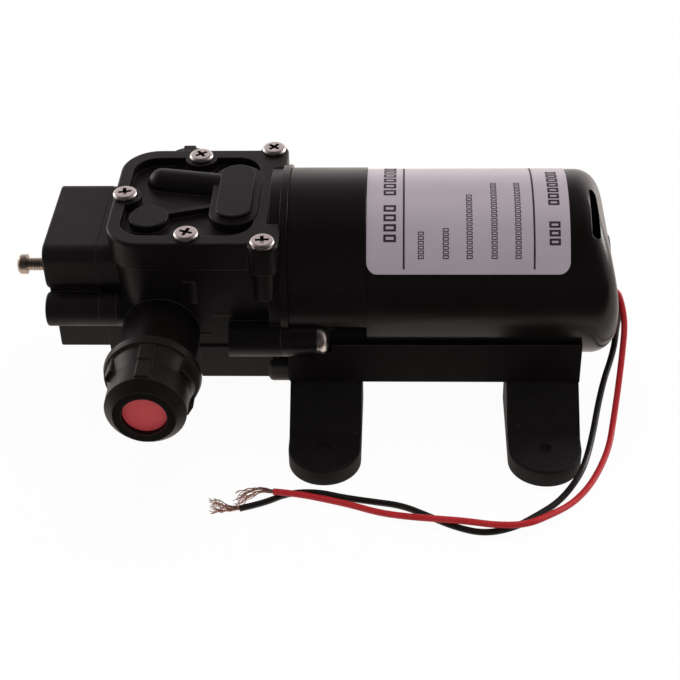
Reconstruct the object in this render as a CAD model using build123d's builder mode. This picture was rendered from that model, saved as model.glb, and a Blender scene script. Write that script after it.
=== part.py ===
from build123d import *
import math
import os

os.makedirs("parts", exist_ok=True)

# Small diaphragm pump for caravan water, in millimetres. The origin is the centre of the four foot holes
# on the surface that the feet stand on. X runs along the motor, whose rear end is at +X, and Z is up.

# Fits
face_gap = 0.05             # between flat faces that are clamped together
seat_gap = 0.1              # round a piece pressed or dropped into its seat
running_gap = 0.05          # radial, on the shaft and the crank journals
thread_gap = 0.3            # radial, stands for the threads of the port nuts

# Motor
axis_z = 38.5               # height of the motor axis
can_r = 26.0
can_wall = 1.5
can_x0 = -18.9              # joint of the can and its front sleeve
end_x = 50.3                # rear end, on the motor axis
end_crown_r = 79.0          # the rear end is crowned from top to bottom
end_crown_drop = 10.2       # the crown's peak lies this far below the axis
shoulder_r = 6.7
sleeve_out = 0.6            # how far the sleeve, the ring and the neck stand out from the can
ring_out = 1.5
neck_out = 0.3
throat_r = 20.0             # opening from the motor's front to the crank case
sleeve_x0 = -40.1
sleeve_wall = 5.0
ring_x0 = -42.3
neck_x0 = -45.4
shaft_r = 2.5
shaft_x0 = -75.0
shaft_x1 = 47.6
bearing_r = 6.5
bearing_width = 4.0
vent_length = 17.4
vent_width = 2.4
vent_x = 43.2
vent_y = -5.0
vent_tilt = 20.0            # degrees that the vent leans towards the front

# Motor works
field_wall = 1.8
field_x0 = -16.5
field_x1 = 36.0
magnet_wall = 3.0
magnet_x0 = -10.0
magnet_x1 = 30.0
magnet_span = 130.0
air_gap = 0.6
core_x0 = -7.0
core_x1 = 25.0
slot_count = 5
slot_width = 2.4
winding_length = 6.5
winding_r = 15.5
commutator_r = 6.0
commutator_length = 9.0
brush_plate_x = 37.9
brush_plate_rim = 3.0
brush_plate_t = 2.0
brush_x = 36.0              # centre of the brushes along the commutator
brush_wide = 4.0
brush_thick = 3.0
brush_length = 7.4
brush_guide_wall = 1.2
brush_guide_in = 2.0        # outer end of the guides, from the edge of the brush plate

# What follows from the motor's own sizes
sleeve_r = can_r + sleeve_out
ring_r = can_r + ring_out
neck_r = can_r + neck_out
field_r = can_r - can_wall - seat_gap
brush_plate_r = field_r - field_wall - seat_gap
brush_guide_out = brush_plate_r - brush_guide_in

# Label
label_x0 = -18.7
label_x1 = 36.1
label_edge_angle = 27.0     # of its lower edges, above the horizontal
label_t = 0.12
label_corner = 3.0

# Saddle and feet
saddle_in = 0.8             # how far the saddle's sides stand in from the can
saddle_end = 0.2            # saddle beyond the feet
saddle_top_z = 27.5
saddle_wall = 1.6
saddle_bottom_z = 6.8
saddle_side_z = 14.5
plate_half_y = 14.0
foot_x = 30.5               # feet and their holes, from the centre
foot_hole_y = 42.5
foot_half = 10.1
foot_t = 5.2
foot_root_y = 14.6
foot_shoulder_out = 0.4     # shoulder of the feet, from the saddle's side
foot_ramp_y = 37.2
foot_hole_r = 1.8
tongue_half = 6.0
tongue_t = 2.4
tongue_y = 29.5
saddle_screw_x = 15.0
saddle_screw_r = 1.5
saddle_half = foot_x + foot_half + saddle_end
saddle_y = can_r - saddle_in
foot_shoulder_y = saddle_y + foot_shoulder_out
tongue_z0 = saddle_bottom_z

# Pump head
seam_z = 52.5               # joint of the lower housing and the top cover
rim_z = 60.8                # top of the cover's rim
head_x0 = -89.5
head_x1 = -45.8
head_half = 24.5
head_corner = 10.5
housing_inset = 1.4
ear_x = -46.2
ear_half = 4.2
ear_y = 27.2
ear_r = 3.4
tray_z = 58.0
tray_rim = 4.4
tray_corner = 7.0
pad_r = 4.5
cover_roof = 1.3
stack_x0 = -84.0            # plates stacked inside the head
stack_x1 = -48.5
stack_half = 21.3
stack_corner = 6.5
notch_r = 3.7               # round the two side screws that pass beside the stacked plates
boss_r = 3.5
floor_z = 15.2
floor_t = 2.4
cavity_x0 = -82.0
cavity_half = 19.4
belly_x0 = -65.8
belly_z = 25.8
belly_out = 0.7
tab_x0 = -46.9
tab_x1 = -41.0
tab_y = 24.6
tab_z0 = 12.0
tab_z1 = 23.2
tab_corner = 4.5
tab_round = 1.4
ledges = ((-68.0, -62.0, 29.9), (-61.5, -56.0, 36.4))  # short raised lines on both sides: from, to, height
ledge_out = 0.3
ledge_half = 0.25

chamber_x0 = -62.0          # raised chamber across the cover, with a stepped top
chamber_x1 = -48.4
chamber_half = 15.4
chamber_corner = 6.7
chamber_step = 1.9
chamber_step_z = 61.2
chamber_top_z = 62.6
chamber_ceiling = 61.4         # inside of the raised chamber
rib_from = (-77.2, 10.6)
rib_to = (-60.0, 7.5)
rib_r = 4.4
round_boss_at = (-78.6, -9.6)
round_boss_r = 5.5
round_boss_z = 60.3
web_from = (-78.6, -8.9)
web_to = (-61.0, -3.7)
web_width = 1.3
edge_round = 0.45           # on the raised forms of the cover
web_z = 59.9
seal_width = 1.4

# Crank and diaphragm
throw = 1.5
crank_x = (-71.0, -54.5)    # the two chambers, front port end first
throw_sign = (1, -1)
rod_length = 11.0
journal_r = 5.0
journal_length = 4.2
bush_wall = 1.4
rod_ring_wall = 1.9
rod_width = 4.0
rod_neck = 6.0
rod_flange_r = 4.8
rod_flange_t = 1.4
collar_r = 6.0
diaphragm_t = 1.3
chamber_r = 7.7
cap_r = 4.6
cap_t = 1.2
piston_screw_r = 1.4
piston_screw_length = 7.0
seat_t = 1.6
valve_plate_top = 55.6
valve_ceiling = 54.6
valve_y = 3.9
valve_r = 2.7
valve_t = 0.5
valve_stem_r = 0.8

# Ports
port_x = -76.0
port_z = 31.0
port_bore_r = 4.5
riser_y = 16.2
riser_bore_r = 3.0
riser_r = 5.2
elbow_y = 10.9              # inner end of the elbow under each riser
elbow_r = 7.2
stub_base_r = 10.8
stub_base_y = 40.3
stub_r = 9.0
stub_y = 52.6
nut_y0 = 42.3
nut_flange_r = 13.3
nut_flange_y = 45.0
nut_body_r = 12.0
nut_rib_r = 12.3
nut_rib_root_r = 10.0
nut_rib_y = 50.4
nut_rib_width = 4.0
nut_rib_count = 6
nut_collar_r = 10.9
nut_y1 = 60.3
nut_nose_y = 57.5           # where the chamfer of its nose starts
nut_nose_r = 8.4
nut_top_rib_r = 11.8
nut_mouth_r = 6.1
nut_wall_y = 58.0
seal_r = 7.6
seal_section_r = 1.2
collet_r = 9.0
collet_bore_r = 6.15
plug_r = 5.9
plug_t = 2.0
plug_y = 58.8
plug_stem = 9.0

# Screws
cover_screws_at = ((-86.3, 0.0), (-67.0, 20.1), (-67.0, -20.1), (ear_x, 23.9), (ear_x, -23.9))
cover_screw_turns = (12, 35, -20, 50, 5)     # degrees, as the screws happen to stand
pan_r = 3.45
pan_t = 1.3
cover_screw_r = 1.6
cover_screw_length = 14.0
cross_width = 1.0
cross_length = 3.7
cross_depth = 0.9
head_bolt_in = 0.5          # bolt centres, from the can's radius
head_bolt_z = 30.0
head_boss_r = 5.0
head_boss_x0 = -56.8
head_boss_x1 = -32.5
head_bolt_r = 1.9
head_bolt_x0 = -54.0
bolt_head_r = 4.7
bolt_head_t = 3.2
bolt_dome = 2.7
bolt_cross_length = 2.4
bolt_access_gap = 0.1       # radial, round the bolt heads in the grooves along the sleeve
head_bolt_y = can_r - head_bolt_in

# Pressure switch
switch_z = 37.4             # axis of its adjusting screw
switch_x0 = -107.9
switch_x1 = -93.0
switch_half = 18.2
switch_top = 54.2
switch_face_z = 39.7        # lower edge of the upper box
switch_round = 3.8
switch_low_round = 5.0      # lower edges of the upper box, cut short by the neck between the bosses
switch_neck_half = 16.5
switch_neck_z = 40.9
switch_rim_round = 0.6
switch_wall = 1.6
switch_low_half = 12.6
switch_low_z = 17.6
switch_screw_y = 19.2
switch_screw_z = 35.6
switch_boss_r = 4.8
switch_screw_r = 1.5
switch_screw_head_r = 2.7
switch_base_half = 15.4
switch_base_in = 0.1        # how far the base stands in from the switch housing
membrane_r = 9.0
membrane_t = 1.0
plunger_r = 5.0
plunger_t = 1.6
plunger_arm_t = 1.4
plunger_travel = 0.8
sense_r = 1.0               # passage from the outlet to the membrane
sense_y = 13.2
sense_z = 30.0
plunger_arm_z = 25.0
switch_spring_r = 3.4
switch_spring_bore_r = 2.0
spring_seat_r = 4.2
spring_seat_x = -101.8
spring_seat_t = 1.4
adjuster_r = 1.8
adjuster_head_r = 2.85
adjuster_head_x0 = -119.9
adjuster_head_t = 2.6
adjuster_groove_pitch = 0.8
adjuster_groove = 0.3
micro_x0 = -103.0
micro_x1 = -97.8
micro_half_y = 6.0
micro_z0 = 19.4
micro_z1 = 29.4
button_z = 25.0
button_r = 1.0

# Leads, whose routes run from the motor's rear end down to the floor and along it
lead_r = 0.9
lead_gap = 0.05             # radial, in the grommet
lead_floor_z = 0.95
lead_over_z = 3.1           # where the red lead lies on the black one
lead_exit_y = -10.0
red_exit_z = 35.6
black_exit_z = 32.2
grommet_x0 = 47.6
grommet_x1 = 50.4
grommet_r = 3.1
grommet_flange_r = 3.5
red_route = (
    (49.0, lead_exit_y, red_exit_z), (51.2, lead_exit_y, red_exit_z), (52.6, -12.3, 32.1),
    (53.7, -14.2, 26.6), (53.3, -17.4, 18.9), (52.1, -23.7, 12.4), (50.3, -32.0, 5.9),
    (48.5, -40.1, 3.6), (45.4, -47.4, 1.9), (41.5, -54.4, 1.1), (36.5, -60.5, lead_floor_z),
    (30.5, -65.9, 2.3), (24.0, -70.4, lead_over_z), (16.0, -70.7, lead_over_z),
    (7.9, -69.2, lead_over_z), (-0.2, -68.4, lead_over_z), (-7.6, -66.6, 2.0),
    (-15.2, -64.1, lead_floor_z), (-22.9, -61.1, lead_floor_z), (-30.1, -59.2, 1.2),
    (-37.3, -59.2, lead_over_z), (-43.8, -58.4, lead_over_z))
black_route = (
    (49.4, lead_exit_y, black_exit_z), (51.4, lead_exit_y, black_exit_z), (52.5, -10.0, 30.5),
    (52.4, -9.8, 26.5), (52.1, -10.0, 21.3), (51.8, -11.6, 17.2), (50.5, -15.5, 14.7),
    (48.3, -21.2, 12.6), (46.2, -28.3, 9.6), (44.4, -36.0, 6.5), (42.3, -43.9, 4.4), (39.5, -52.1, 4.0),
    (33.9, -59.0, lead_floor_z), (27.0, -64.9, lead_floor_z), (20.5, -69.6, lead_floor_z),
    (12.6, -71.7, lead_floor_z), (5.0, -69.3, lead_floor_z), (-2.0, -65.2, lead_floor_z),
    (-8.9, -61.3, lead_floor_z), (-16.7, -59.9, lead_floor_z), (-24.7, -58.4, lead_floor_z),
    (-32.4, -56.1, lead_floor_z), (-40.3, -56.8, lead_floor_z), (-46.5, -60.8, lead_floor_z),
    (-52.8, -62.8, lead_floor_z))
lead_bend_share = 0.45      # of a run that each of its two bends may take up
strand_r = 0.16
strand_pitch = 0.42
strand_count = 6            # round one in the middle
red_strand_route = (
    (-43.9, -58.4, lead_over_z), (-47.6, -57.4, 2.9), (-51.0, -58.2, 1.9), (-53.4, -60.0, 1.1))
black_strand_route = (
    (-52.9, -62.8, lead_floor_z), (-55.2, -63.1, 0.9), (-57.6, -62.7, 0.8), (-60.2, -61.9, 0.8))
strand_fan = 1.5            # how far the strands spread at their ends


def save(name, piece):
    """Label a finished piece and write its file."""
    piece.part.label = name
    export_step(piece.part, f"parts/{name}.step")


def round_x(x0, x1, radius, y=0.0, z=axis_z, mode=Mode.ADD):
    """Round stock along X."""
    with BuildSketch(Plane.YZ.offset(x0)) as disc:
        with Locations((y, z)):
            Circle(radius)
    extrude(disc.sketch, amount=x1 - x0, mode=mode)


def round_y(y0, y1, radius, x, z, mode=Mode.ADD):
    """Round stock along Y, from y0 up to y1."""
    with BuildSketch(Plane.XZ.offset(-y0)) as disc:
        with Locations((x, z)):
            Circle(radius)
    extrude(disc.sketch, amount=y0 - y1, mode=mode)


def round_z(z0, z1, radius, x, y, mode=Mode.ADD):
    """Round stock along Z."""
    with BuildSketch(Plane.XY.offset(z0)) as disc:
        with Locations((x, y)):
            Circle(radius)
    extrude(disc.sketch, amount=z1 - z0, mode=mode)


def block(x0, x1, y0, y1, z0, z1, mode=Mode.ADD):
    """A plain block between two corners."""
    with BuildSketch(Plane.XY.offset(z0)) as floor:
        with Locations(((x0 + x1) / 2, (y0 + y1) / 2)):
            Rectangle(x1 - x0, y1 - y0)
    extrude(floor.sketch, amount=z1 - z0, mode=mode)


def rounded_block(x0, x1, half_y, z0, z1, corner, mode=Mode.ADD):
    """A block centred on Y with rounded upright edges."""
    with BuildSketch(Plane.XY.offset(z0)) as floor:
        with Locations(((x0 + x1) / 2, 0)):
            RectangleRounded(x1 - x0, 2 * half_y, corner)
    extrude(floor.sketch, amount=z1 - z0, mode=mode)


def cross_cut(top, x, y, turn=0.0, depth=cross_depth, mode=Mode.SUBTRACT):
    """Cross recess in a screw head that faces up."""
    with BuildSketch(Plane.XY.offset(top)) as cross:
        with Locations((x, y)):
            Rectangle(cross_length, cross_width, rotation=turn)
            Rectangle(cross_width, cross_length, rotation=turn)
    extrude(cross.sketch, amount=-depth, mode=mode)


# Motor shell

def end_block(grow):
    """The can's outer form, or its inside when grow is minus the wall."""
    centre_x = end_x - math.sqrt(end_crown_r**2 - end_crown_drop**2)
    with BuildPart() as form:
        round_x(can_x0, end_x + 10, can_r + grow)
        with BuildSketch(Plane.XZ) as crown:
            with Locations((centre_x, axis_z - end_crown_drop)):
                Circle(end_crown_r + grow)
        extrude(crown.sketch, amount=2 * can_r, both=True, mode=Mode.INTERSECT)
        rim = form.edges().filter_by(lambda edge: edge.center().X > (can_x0 + end_x) / 2)
        fillet(rim.filter_by(lambda edge: edge.length > can_r), shoulder_r + grow)
    return form.part


with BuildPart() as motor_can:
    add(end_block(0))
    add(end_block(-can_wall), mode=Mode.SUBTRACT)
    round_x(shaft_x1 - 3.2, end_x - can_wall + 0.5, bearing_r + 0.9)
    round_x(shaft_x1 - 3.4, end_x - can_wall, bearing_r - 0.5 + seat_gap, mode=Mode.SUBTRACT)
    with BuildSketch(Plane.XY.offset(axis_z + can_r / 2).rotated((vent_tilt, 0, 0))) as vent:
        with Locations((vent_x, vent_y)):
            SlotOverall(vent_length, vent_width, rotation=90)
    extrude(vent.sketch, amount=can_r, mode=Mode.SUBTRACT)
    round_x(grommet_x0, end_x + 1, grommet_r + seat_gap, y=lead_exit_y, z=(red_exit_z + black_exit_z) / 2,
            mode=Mode.SUBTRACT)
    for x in (-saddle_screw_x, saddle_screw_x):
        round_z(0, axis_z - can_r / 2, saddle_screw_r + seat_gap, x, 0, mode=Mode.SUBTRACT)
save("motor_can", motor_can)

with BuildPart() as front_sleeve:
    round_x(sleeve_x0, can_x0, sleeve_r)
    round_x(can_x0, can_x0 + 1.8, can_r - can_wall - seat_gap)
    round_x(sleeve_x0 + bearing_width, can_x0 + 1.8, sleeve_r - sleeve_wall, mode=Mode.SUBTRACT)
    for side in (-1, 1):
        round_x(sleeve_x0, head_boss_x1, head_boss_r, y=side * head_bolt_y, z=head_bolt_z)
    round_x(sleeve_x0, sleeve_x0 + bearing_width, bearing_r + seat_gap, mode=Mode.SUBTRACT)
    for side in (-1, 1):
        round_x(sleeve_x0, head_boss_x1, head_bolt_r + seat_gap, y=side * head_bolt_y, z=head_bolt_z,
                mode=Mode.SUBTRACT)
        # Groove that lets a screwdriver reach the bolt
        round_x(head_boss_x1, can_x0, bolt_head_r + bolt_access_gap, y=side * head_bolt_y, z=head_bolt_z,
                mode=Mode.SUBTRACT)
save("front_sleeve", front_sleeve)

with BuildPart() as adapter_ring:
    round_x(ring_x0 + face_gap, sleeve_x0 - face_gap, ring_r)
    for side in (-1, 1):
        round_x(ring_x0 + face_gap, sleeve_x0 - face_gap, head_boss_r, y=side * head_bolt_y, z=head_bolt_z)
    round_x(ring_x0, sleeve_x0, throat_r, mode=Mode.SUBTRACT)
    for side in (-1, 1):
        round_x(ring_x0, sleeve_x0, head_bolt_r + seat_gap, y=side * head_bolt_y, z=head_bolt_z,
                mode=Mode.SUBTRACT)
save("adapter_ring", adapter_ring)

with BuildPart() as label:
    with BuildSketch(Plane.XZ) as patch:
        with Locations(((label_x0 + label_x1) / 2, axis_z + can_r)):
            RectangleRounded(label_x1 - label_x0, 2 * can_r * (1 - math.sin(math.radians(label_edge_angle))),
                             label_corner)
    extrude(patch.sketch, amount=2 * can_r, both=True)
    with BuildSketch(Plane.YZ.offset(can_x0)) as skin:
        with Locations((0, axis_z)):
            Circle(can_r + face_gap + label_t)
            Circle(can_r + face_gap, mode=Mode.SUBTRACT)
    extrude(skin.sketch, amount=end_x - can_x0, mode=Mode.INTERSECT)
save("label", label)

# Motor works

with BuildPart() as field_ring:
    round_x(field_x0, field_x1, field_r - seat_gap)
    round_x(field_x0, field_x1, field_r - field_wall, mode=Mode.SUBTRACT)
    for x in (-saddle_screw_x, saddle_screw_x):
        round_z(0, axis_z, saddle_screw_r + seat_gap, x, 0, mode=Mode.SUBTRACT)
save("field_ring", field_ring)

magnet_r = field_r - field_wall - face_gap
core_r = magnet_r - magnet_wall - air_gap
with BuildPart() as magnets:
    round_x(magnet_x0, magnet_x1, magnet_r)
    round_x(magnet_x0, magnet_x1, magnet_r - magnet_wall, mode=Mode.SUBTRACT)
    gap_angle = math.radians(90 - magnet_span / 2)
    for side in (-1, 1):
        with BuildSketch(Plane.YZ.offset(magnet_x0)) as gap:
            with BuildLine():
                reach = 2 * magnet_r
                corner_y = reach * math.sin(gap_angle)
                corner_z = axis_z + side * reach * math.cos(gap_angle)
                Polyline([(0, axis_z), (-corner_y, corner_z), (corner_y, corner_z)], close=True)
            make_face()
        extrude(gap.sketch, amount=magnet_x1 - magnet_x0, mode=Mode.SUBTRACT)
save("magnets", magnets)

with BuildPart() as armature_core:
    with BuildSketch(Plane.YZ.offset(core_x0)) as lamination:
        with Locations((0, axis_z)):
            Circle(core_r)
            Circle(shaft_r, mode=Mode.SUBTRACT)
            with PolarLocations(core_r - 3.5, slot_count):
                Rectangle(9, slot_width, mode=Mode.SUBTRACT)
                Circle(3.0, mode=Mode.SUBTRACT)
    extrude(lamination.sketch, amount=core_x1 - core_x0)
save("armature_core", armature_core)

with BuildPart() as windings:
    for x0 in (core_x0 - face_gap - winding_length, core_x1 + face_gap):
        with BuildSketch(Plane.XZ) as end_turn:
            with Locations((x0 + winding_length / 2, axis_z + (winding_r + 5) / 2)):
                RectangleRounded(winding_length, winding_r - 5, 2.4)
        revolve(end_turn.sketch, axis=Axis((0, 0, axis_z), (1, 0, 0)))
save("windings", windings)

commutator_x0 = core_x1 + winding_length + 0.6
with BuildPart() as commutator:
    round_x(commutator_x0, commutator_x0 + commutator_length, commutator_r)
    round_x(commutator_x0, commutator_x0 + 1.0, commutator_r + 1.2)
    round_x(commutator_x0, commutator_x0 + commutator_length, shaft_r, mode=Mode.SUBTRACT)
    with BuildSketch(Plane.YZ.offset(commutator_x0)) as grooves:
        with Locations((0, axis_z)):
            with PolarLocations(commutator_r, slot_count, start_angle=18):
                Rectangle(1.6, 0.5)
    extrude(grooves.sketch, amount=commutator_length, mode=Mode.SUBTRACT)
save("commutator", commutator)

with BuildPart() as motor_shaft:
    round_x(shaft_x0, shaft_x1, shaft_r)
    chamfer(motor_shaft.faces().sort_by(Axis.X)[0].edges(), 0.4)
    chamfer(motor_shaft.faces().sort_by(Axis.X)[-1].edges(), 0.4)
save("motor_shaft", motor_shaft)


def ball_bearing(x0, radius):
    """Shielded bearing: two rings with a shallow recess between them on both faces."""
    with BuildPart() as bearing:
        round_x(x0, x0 + bearing_width, radius)
        round_x(x0, x0 + bearing_width, shaft_r + running_gap, mode=Mode.SUBTRACT)
        for x in (x0, x0 + bearing_width):
            with BuildSketch(Plane.YZ.offset(x)) as recess:
                with Locations((0, axis_z)):
                    Circle(radius - 1.1)
                    Circle(shaft_r + 1.2, mode=Mode.SUBTRACT)
            extrude(recess.sketch, amount=0.3, both=True, mode=Mode.SUBTRACT)
    return bearing


front_bearing = ball_bearing(sleeve_x0, bearing_r)
save("front_bearing", front_bearing)

with BuildPart() as rear_bush:
    round_x(shaft_x1 - 3.0, shaft_x1 + 0.6, bearing_r - 0.5)
    round_x(shaft_x1 - 3.0, shaft_x1 + 0.6, shaft_r + running_gap, mode=Mode.SUBTRACT)
save("rear_bush", rear_bush)

guide_half_x = brush_wide / 2 + brush_guide_wall
guide_half_z = brush_thick / 2 + brush_guide_wall
with BuildPart() as brush_plate:
    round_x(brush_plate_x - brush_plate_rim, brush_plate_x + brush_plate_t, brush_plate_r)
    round_x(brush_plate_x - brush_plate_rim, brush_plate_x, brush_plate_r - 1.5, mode=Mode.SUBTRACT)
    for side in (-1, 1):
        inner, outer = sorted((side * (commutator_r + 1.8), side * brush_guide_out))
        block(brush_x - guide_half_x, brush_plate_x + 0.5, inner, outer, axis_z - guide_half_z,
              axis_z + guide_half_z)
        inner, outer = sorted((side * commutator_r, side * (brush_guide_out - brush_guide_wall)))
        block(brush_x - brush_wide / 2 - seat_gap, brush_x + brush_wide / 2 + seat_gap, inner, outer,
              axis_z - brush_thick / 2 - seat_gap, axis_z + brush_thick / 2 + seat_gap, mode=Mode.SUBTRACT)
    round_x(brush_x - 5, brush_plate_x + 3, commutator_r + 1.6, mode=Mode.SUBTRACT)
save("brush_plate", brush_plate)

brush_y0 = commutator_r + seat_gap
brush_y1 = brush_y0 + brush_length
spring_y1 = brush_guide_out - brush_guide_wall - face_gap
for name, side in (("front", -1), ("rear", 1)):
    with BuildPart() as brush:
        inner, outer = sorted((side * brush_y0, side * brush_y1))
        block(brush_x - brush_wide / 2, brush_x + brush_wide / 2, inner, outer, axis_z - brush_thick / 2,
              axis_z + brush_thick / 2)
    save(f"{name}_brush", brush)
    with BuildPart() as brush_spring:
        inner, outer = sorted((side * (brush_y1 + face_gap), side * spring_y1))
        round_y(inner, outer, brush_thick / 2 - 0.1, brush_x, axis_z)
        round_y(inner, outer, brush_thick / 2 - 0.5, brush_x, axis_z, mode=Mode.SUBTRACT)
    save(f"{name}_brush_spring", brush_spring)

# Saddle and feet

def saddle_side(side):
    """Half of the saddle's cross section, seen along the motor."""
    return [(0, saddle_bottom_z), (side * plate_half_y, saddle_bottom_z),
            (side * (plate_half_y + 0.4), saddle_side_z - 2.6), (side * (saddle_y + 0.1), saddle_side_z),
            (side * saddle_y, saddle_top_z), (side * (saddle_y - saddle_wall), saddle_top_z),
            (side * (saddle_y - saddle_wall), axis_z), (0, axis_z)]


with BuildPart() as base_saddle:
    for side in (-1, 1):
        with BuildSketch(Plane.YZ.offset(-saddle_half)) as section:
            with BuildLine():
                Polyline(saddle_side(side), close=True)
            make_face()
        extrude(section.sketch, amount=2 * saddle_half)
    for x in (-foot_x, foot_x):
        block(x - tongue_half, x + tongue_half, -tongue_y, tongue_y, tongue_z0, tongue_z0 + tongue_t)
    block(-saddle_half - 1, saddle_half + 1, -saddle_y, saddle_y, saddle_top_z, axis_z + 1,
          mode=Mode.SUBTRACT)
    round_x(-saddle_half - 1, saddle_half + 1, can_r + face_gap, mode=Mode.SUBTRACT)
    round_x(-saddle_half - 1, can_x0 + face_gap, sleeve_r + face_gap, mode=Mode.SUBTRACT)
    round_x(-saddle_half - 1, sleeve_x0 + face_gap, ring_r + face_gap, mode=Mode.SUBTRACT)
    for side in (-1, 1):
        round_x(-saddle_half - 1, head_boss_x1 + bolt_head_t + 0.8, head_boss_r + thread_gap,
                y=side * head_bolt_y, z=head_bolt_z, mode=Mode.SUBTRACT)
    for x in (-saddle_screw_x, saddle_screw_x):
        round_z(0, axis_z, saddle_screw_r + seat_gap, x, 0, mode=Mode.SUBTRACT)
        round_z(0, saddle_bottom_z + 2.2, 3.2, x, 0, mode=Mode.SUBTRACT)
save("base_saddle", base_saddle)

with BuildPart() as saddle_screws:
    for x in (-saddle_screw_x, saddle_screw_x):
        round_z(saddle_bottom_z + 2.2 - 1.8, saddle_bottom_z + 2.2 - face_gap, 2.8, x, 0)
        round_z(saddle_bottom_z + 1.0, axis_z - field_r + field_wall + 0.6, saddle_screw_r, x, 0)
        with BuildSketch(Plane.XY.offset(saddle_bottom_z + 2.2 - 1.8)) as cross:
            with Locations((x, 0)):
                Rectangle(cross_length, cross_width)
                Rectangle(cross_width, cross_length)
        extrude(cross.sketch, amount=0.9, mode=Mode.SUBTRACT)
save("saddle_screws", saddle_screws)

with BuildPart() as feet:
    for side_x in (-1, 1):
        for side_y in (-1, 1):
            with BuildPart(mode=Mode.PRIVATE) as foot:
                with BuildSketch(Plane.YZ.offset(side_x * foot_x - foot_half)) as profile:
                    with BuildLine():
                        Polyline([(side_y * y, z) for y, z in (
                            (foot_root_y, 0), (foot_root_y, saddle_side_z - 2.7),
                            (saddle_y, saddle_side_z - face_gap), (foot_shoulder_y, saddle_side_z - 0.2),
                            (foot_ramp_y, foot_t), (foot_hole_y + foot_half, foot_t),
                            (foot_hole_y + foot_half, 0))], close=True)
                    make_face()
                extrude(profile.sketch, amount=2 * foot_half)
                with BuildSketch() as plan:
                    with Locations((side_x * foot_x, side_y * (foot_root_y + foot_hole_y) / 2)):
                        Rectangle(2 * foot_half, foot_hole_y - foot_root_y)
                    with Locations((side_x * foot_x, side_y * foot_hole_y)):
                        Circle(foot_half)
                extrude(plan.sketch, amount=saddle_side_z, mode=Mode.INTERSECT)
                toe = foot.edges().filter_by(lambda edge: abs(edge.center().Z - foot_t) < 0.1)
                fillet(toe.filter_by(GeomType.CIRCLE), 0.7)
                x0 = side_x * foot_x - tongue_half - seat_gap
                inner, outer = sorted((side_y * (foot_root_y - 1), side_y * (tongue_y + seat_gap)))
                block(x0, x0 + 2 * (tongue_half + seat_gap), inner, outer, tongue_z0 - seat_gap,
                      tongue_z0 + tongue_t + seat_gap, mode=Mode.SUBTRACT)
                round_z(0, foot_t, foot_hole_r, side_x * foot_x, side_y * foot_hole_y, mode=Mode.SUBTRACT)
            add(foot.part)
save("feet", feet)

# Top cover

def head_block(z0, z1, inset=0.0, ears=True, mode=Mode.ADD):
    """Plan of the pump head as a block, with or without the ears beside the motor."""
    with BuildSketch(Plane.XY.offset(z0)) as plan:
        with Locations(((head_x0 + head_x1) / 2, 0)):
            Rectangle(head_x1 - head_x0, 2 * head_half)
        fillet(plan.vertices().sort_by(Axis.X)[:2], head_corner)
        if inset:
            offset(amount=-inset)
        if ears:
            with Locations((ear_x, 0)):
                RectangleRounded(2 * ear_half, 2 * ear_y, ear_r)
    extrude(plan.sketch, amount=z1 - z0, mode=mode)


def stack_block(z0, z1, grow=0.0, mode=Mode.ADD):
    """Plan of the stacked plates as a block, notched round the two side screws."""
    with BuildSketch(Plane.XY.offset(z0)) as plan:
        with Locations(((stack_x0 + stack_x1) / 2, 0)):
            RectangleRounded(stack_x1 - stack_x0 + 2 * grow, 2 * (stack_half + grow), stack_corner + grow)
        with Locations(*cover_screws_at[1:3]):
            Circle(notch_r - 2 * grow, mode=Mode.SUBTRACT)
    extrude(plan.sketch, amount=z1 - z0, mode=mode)


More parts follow.
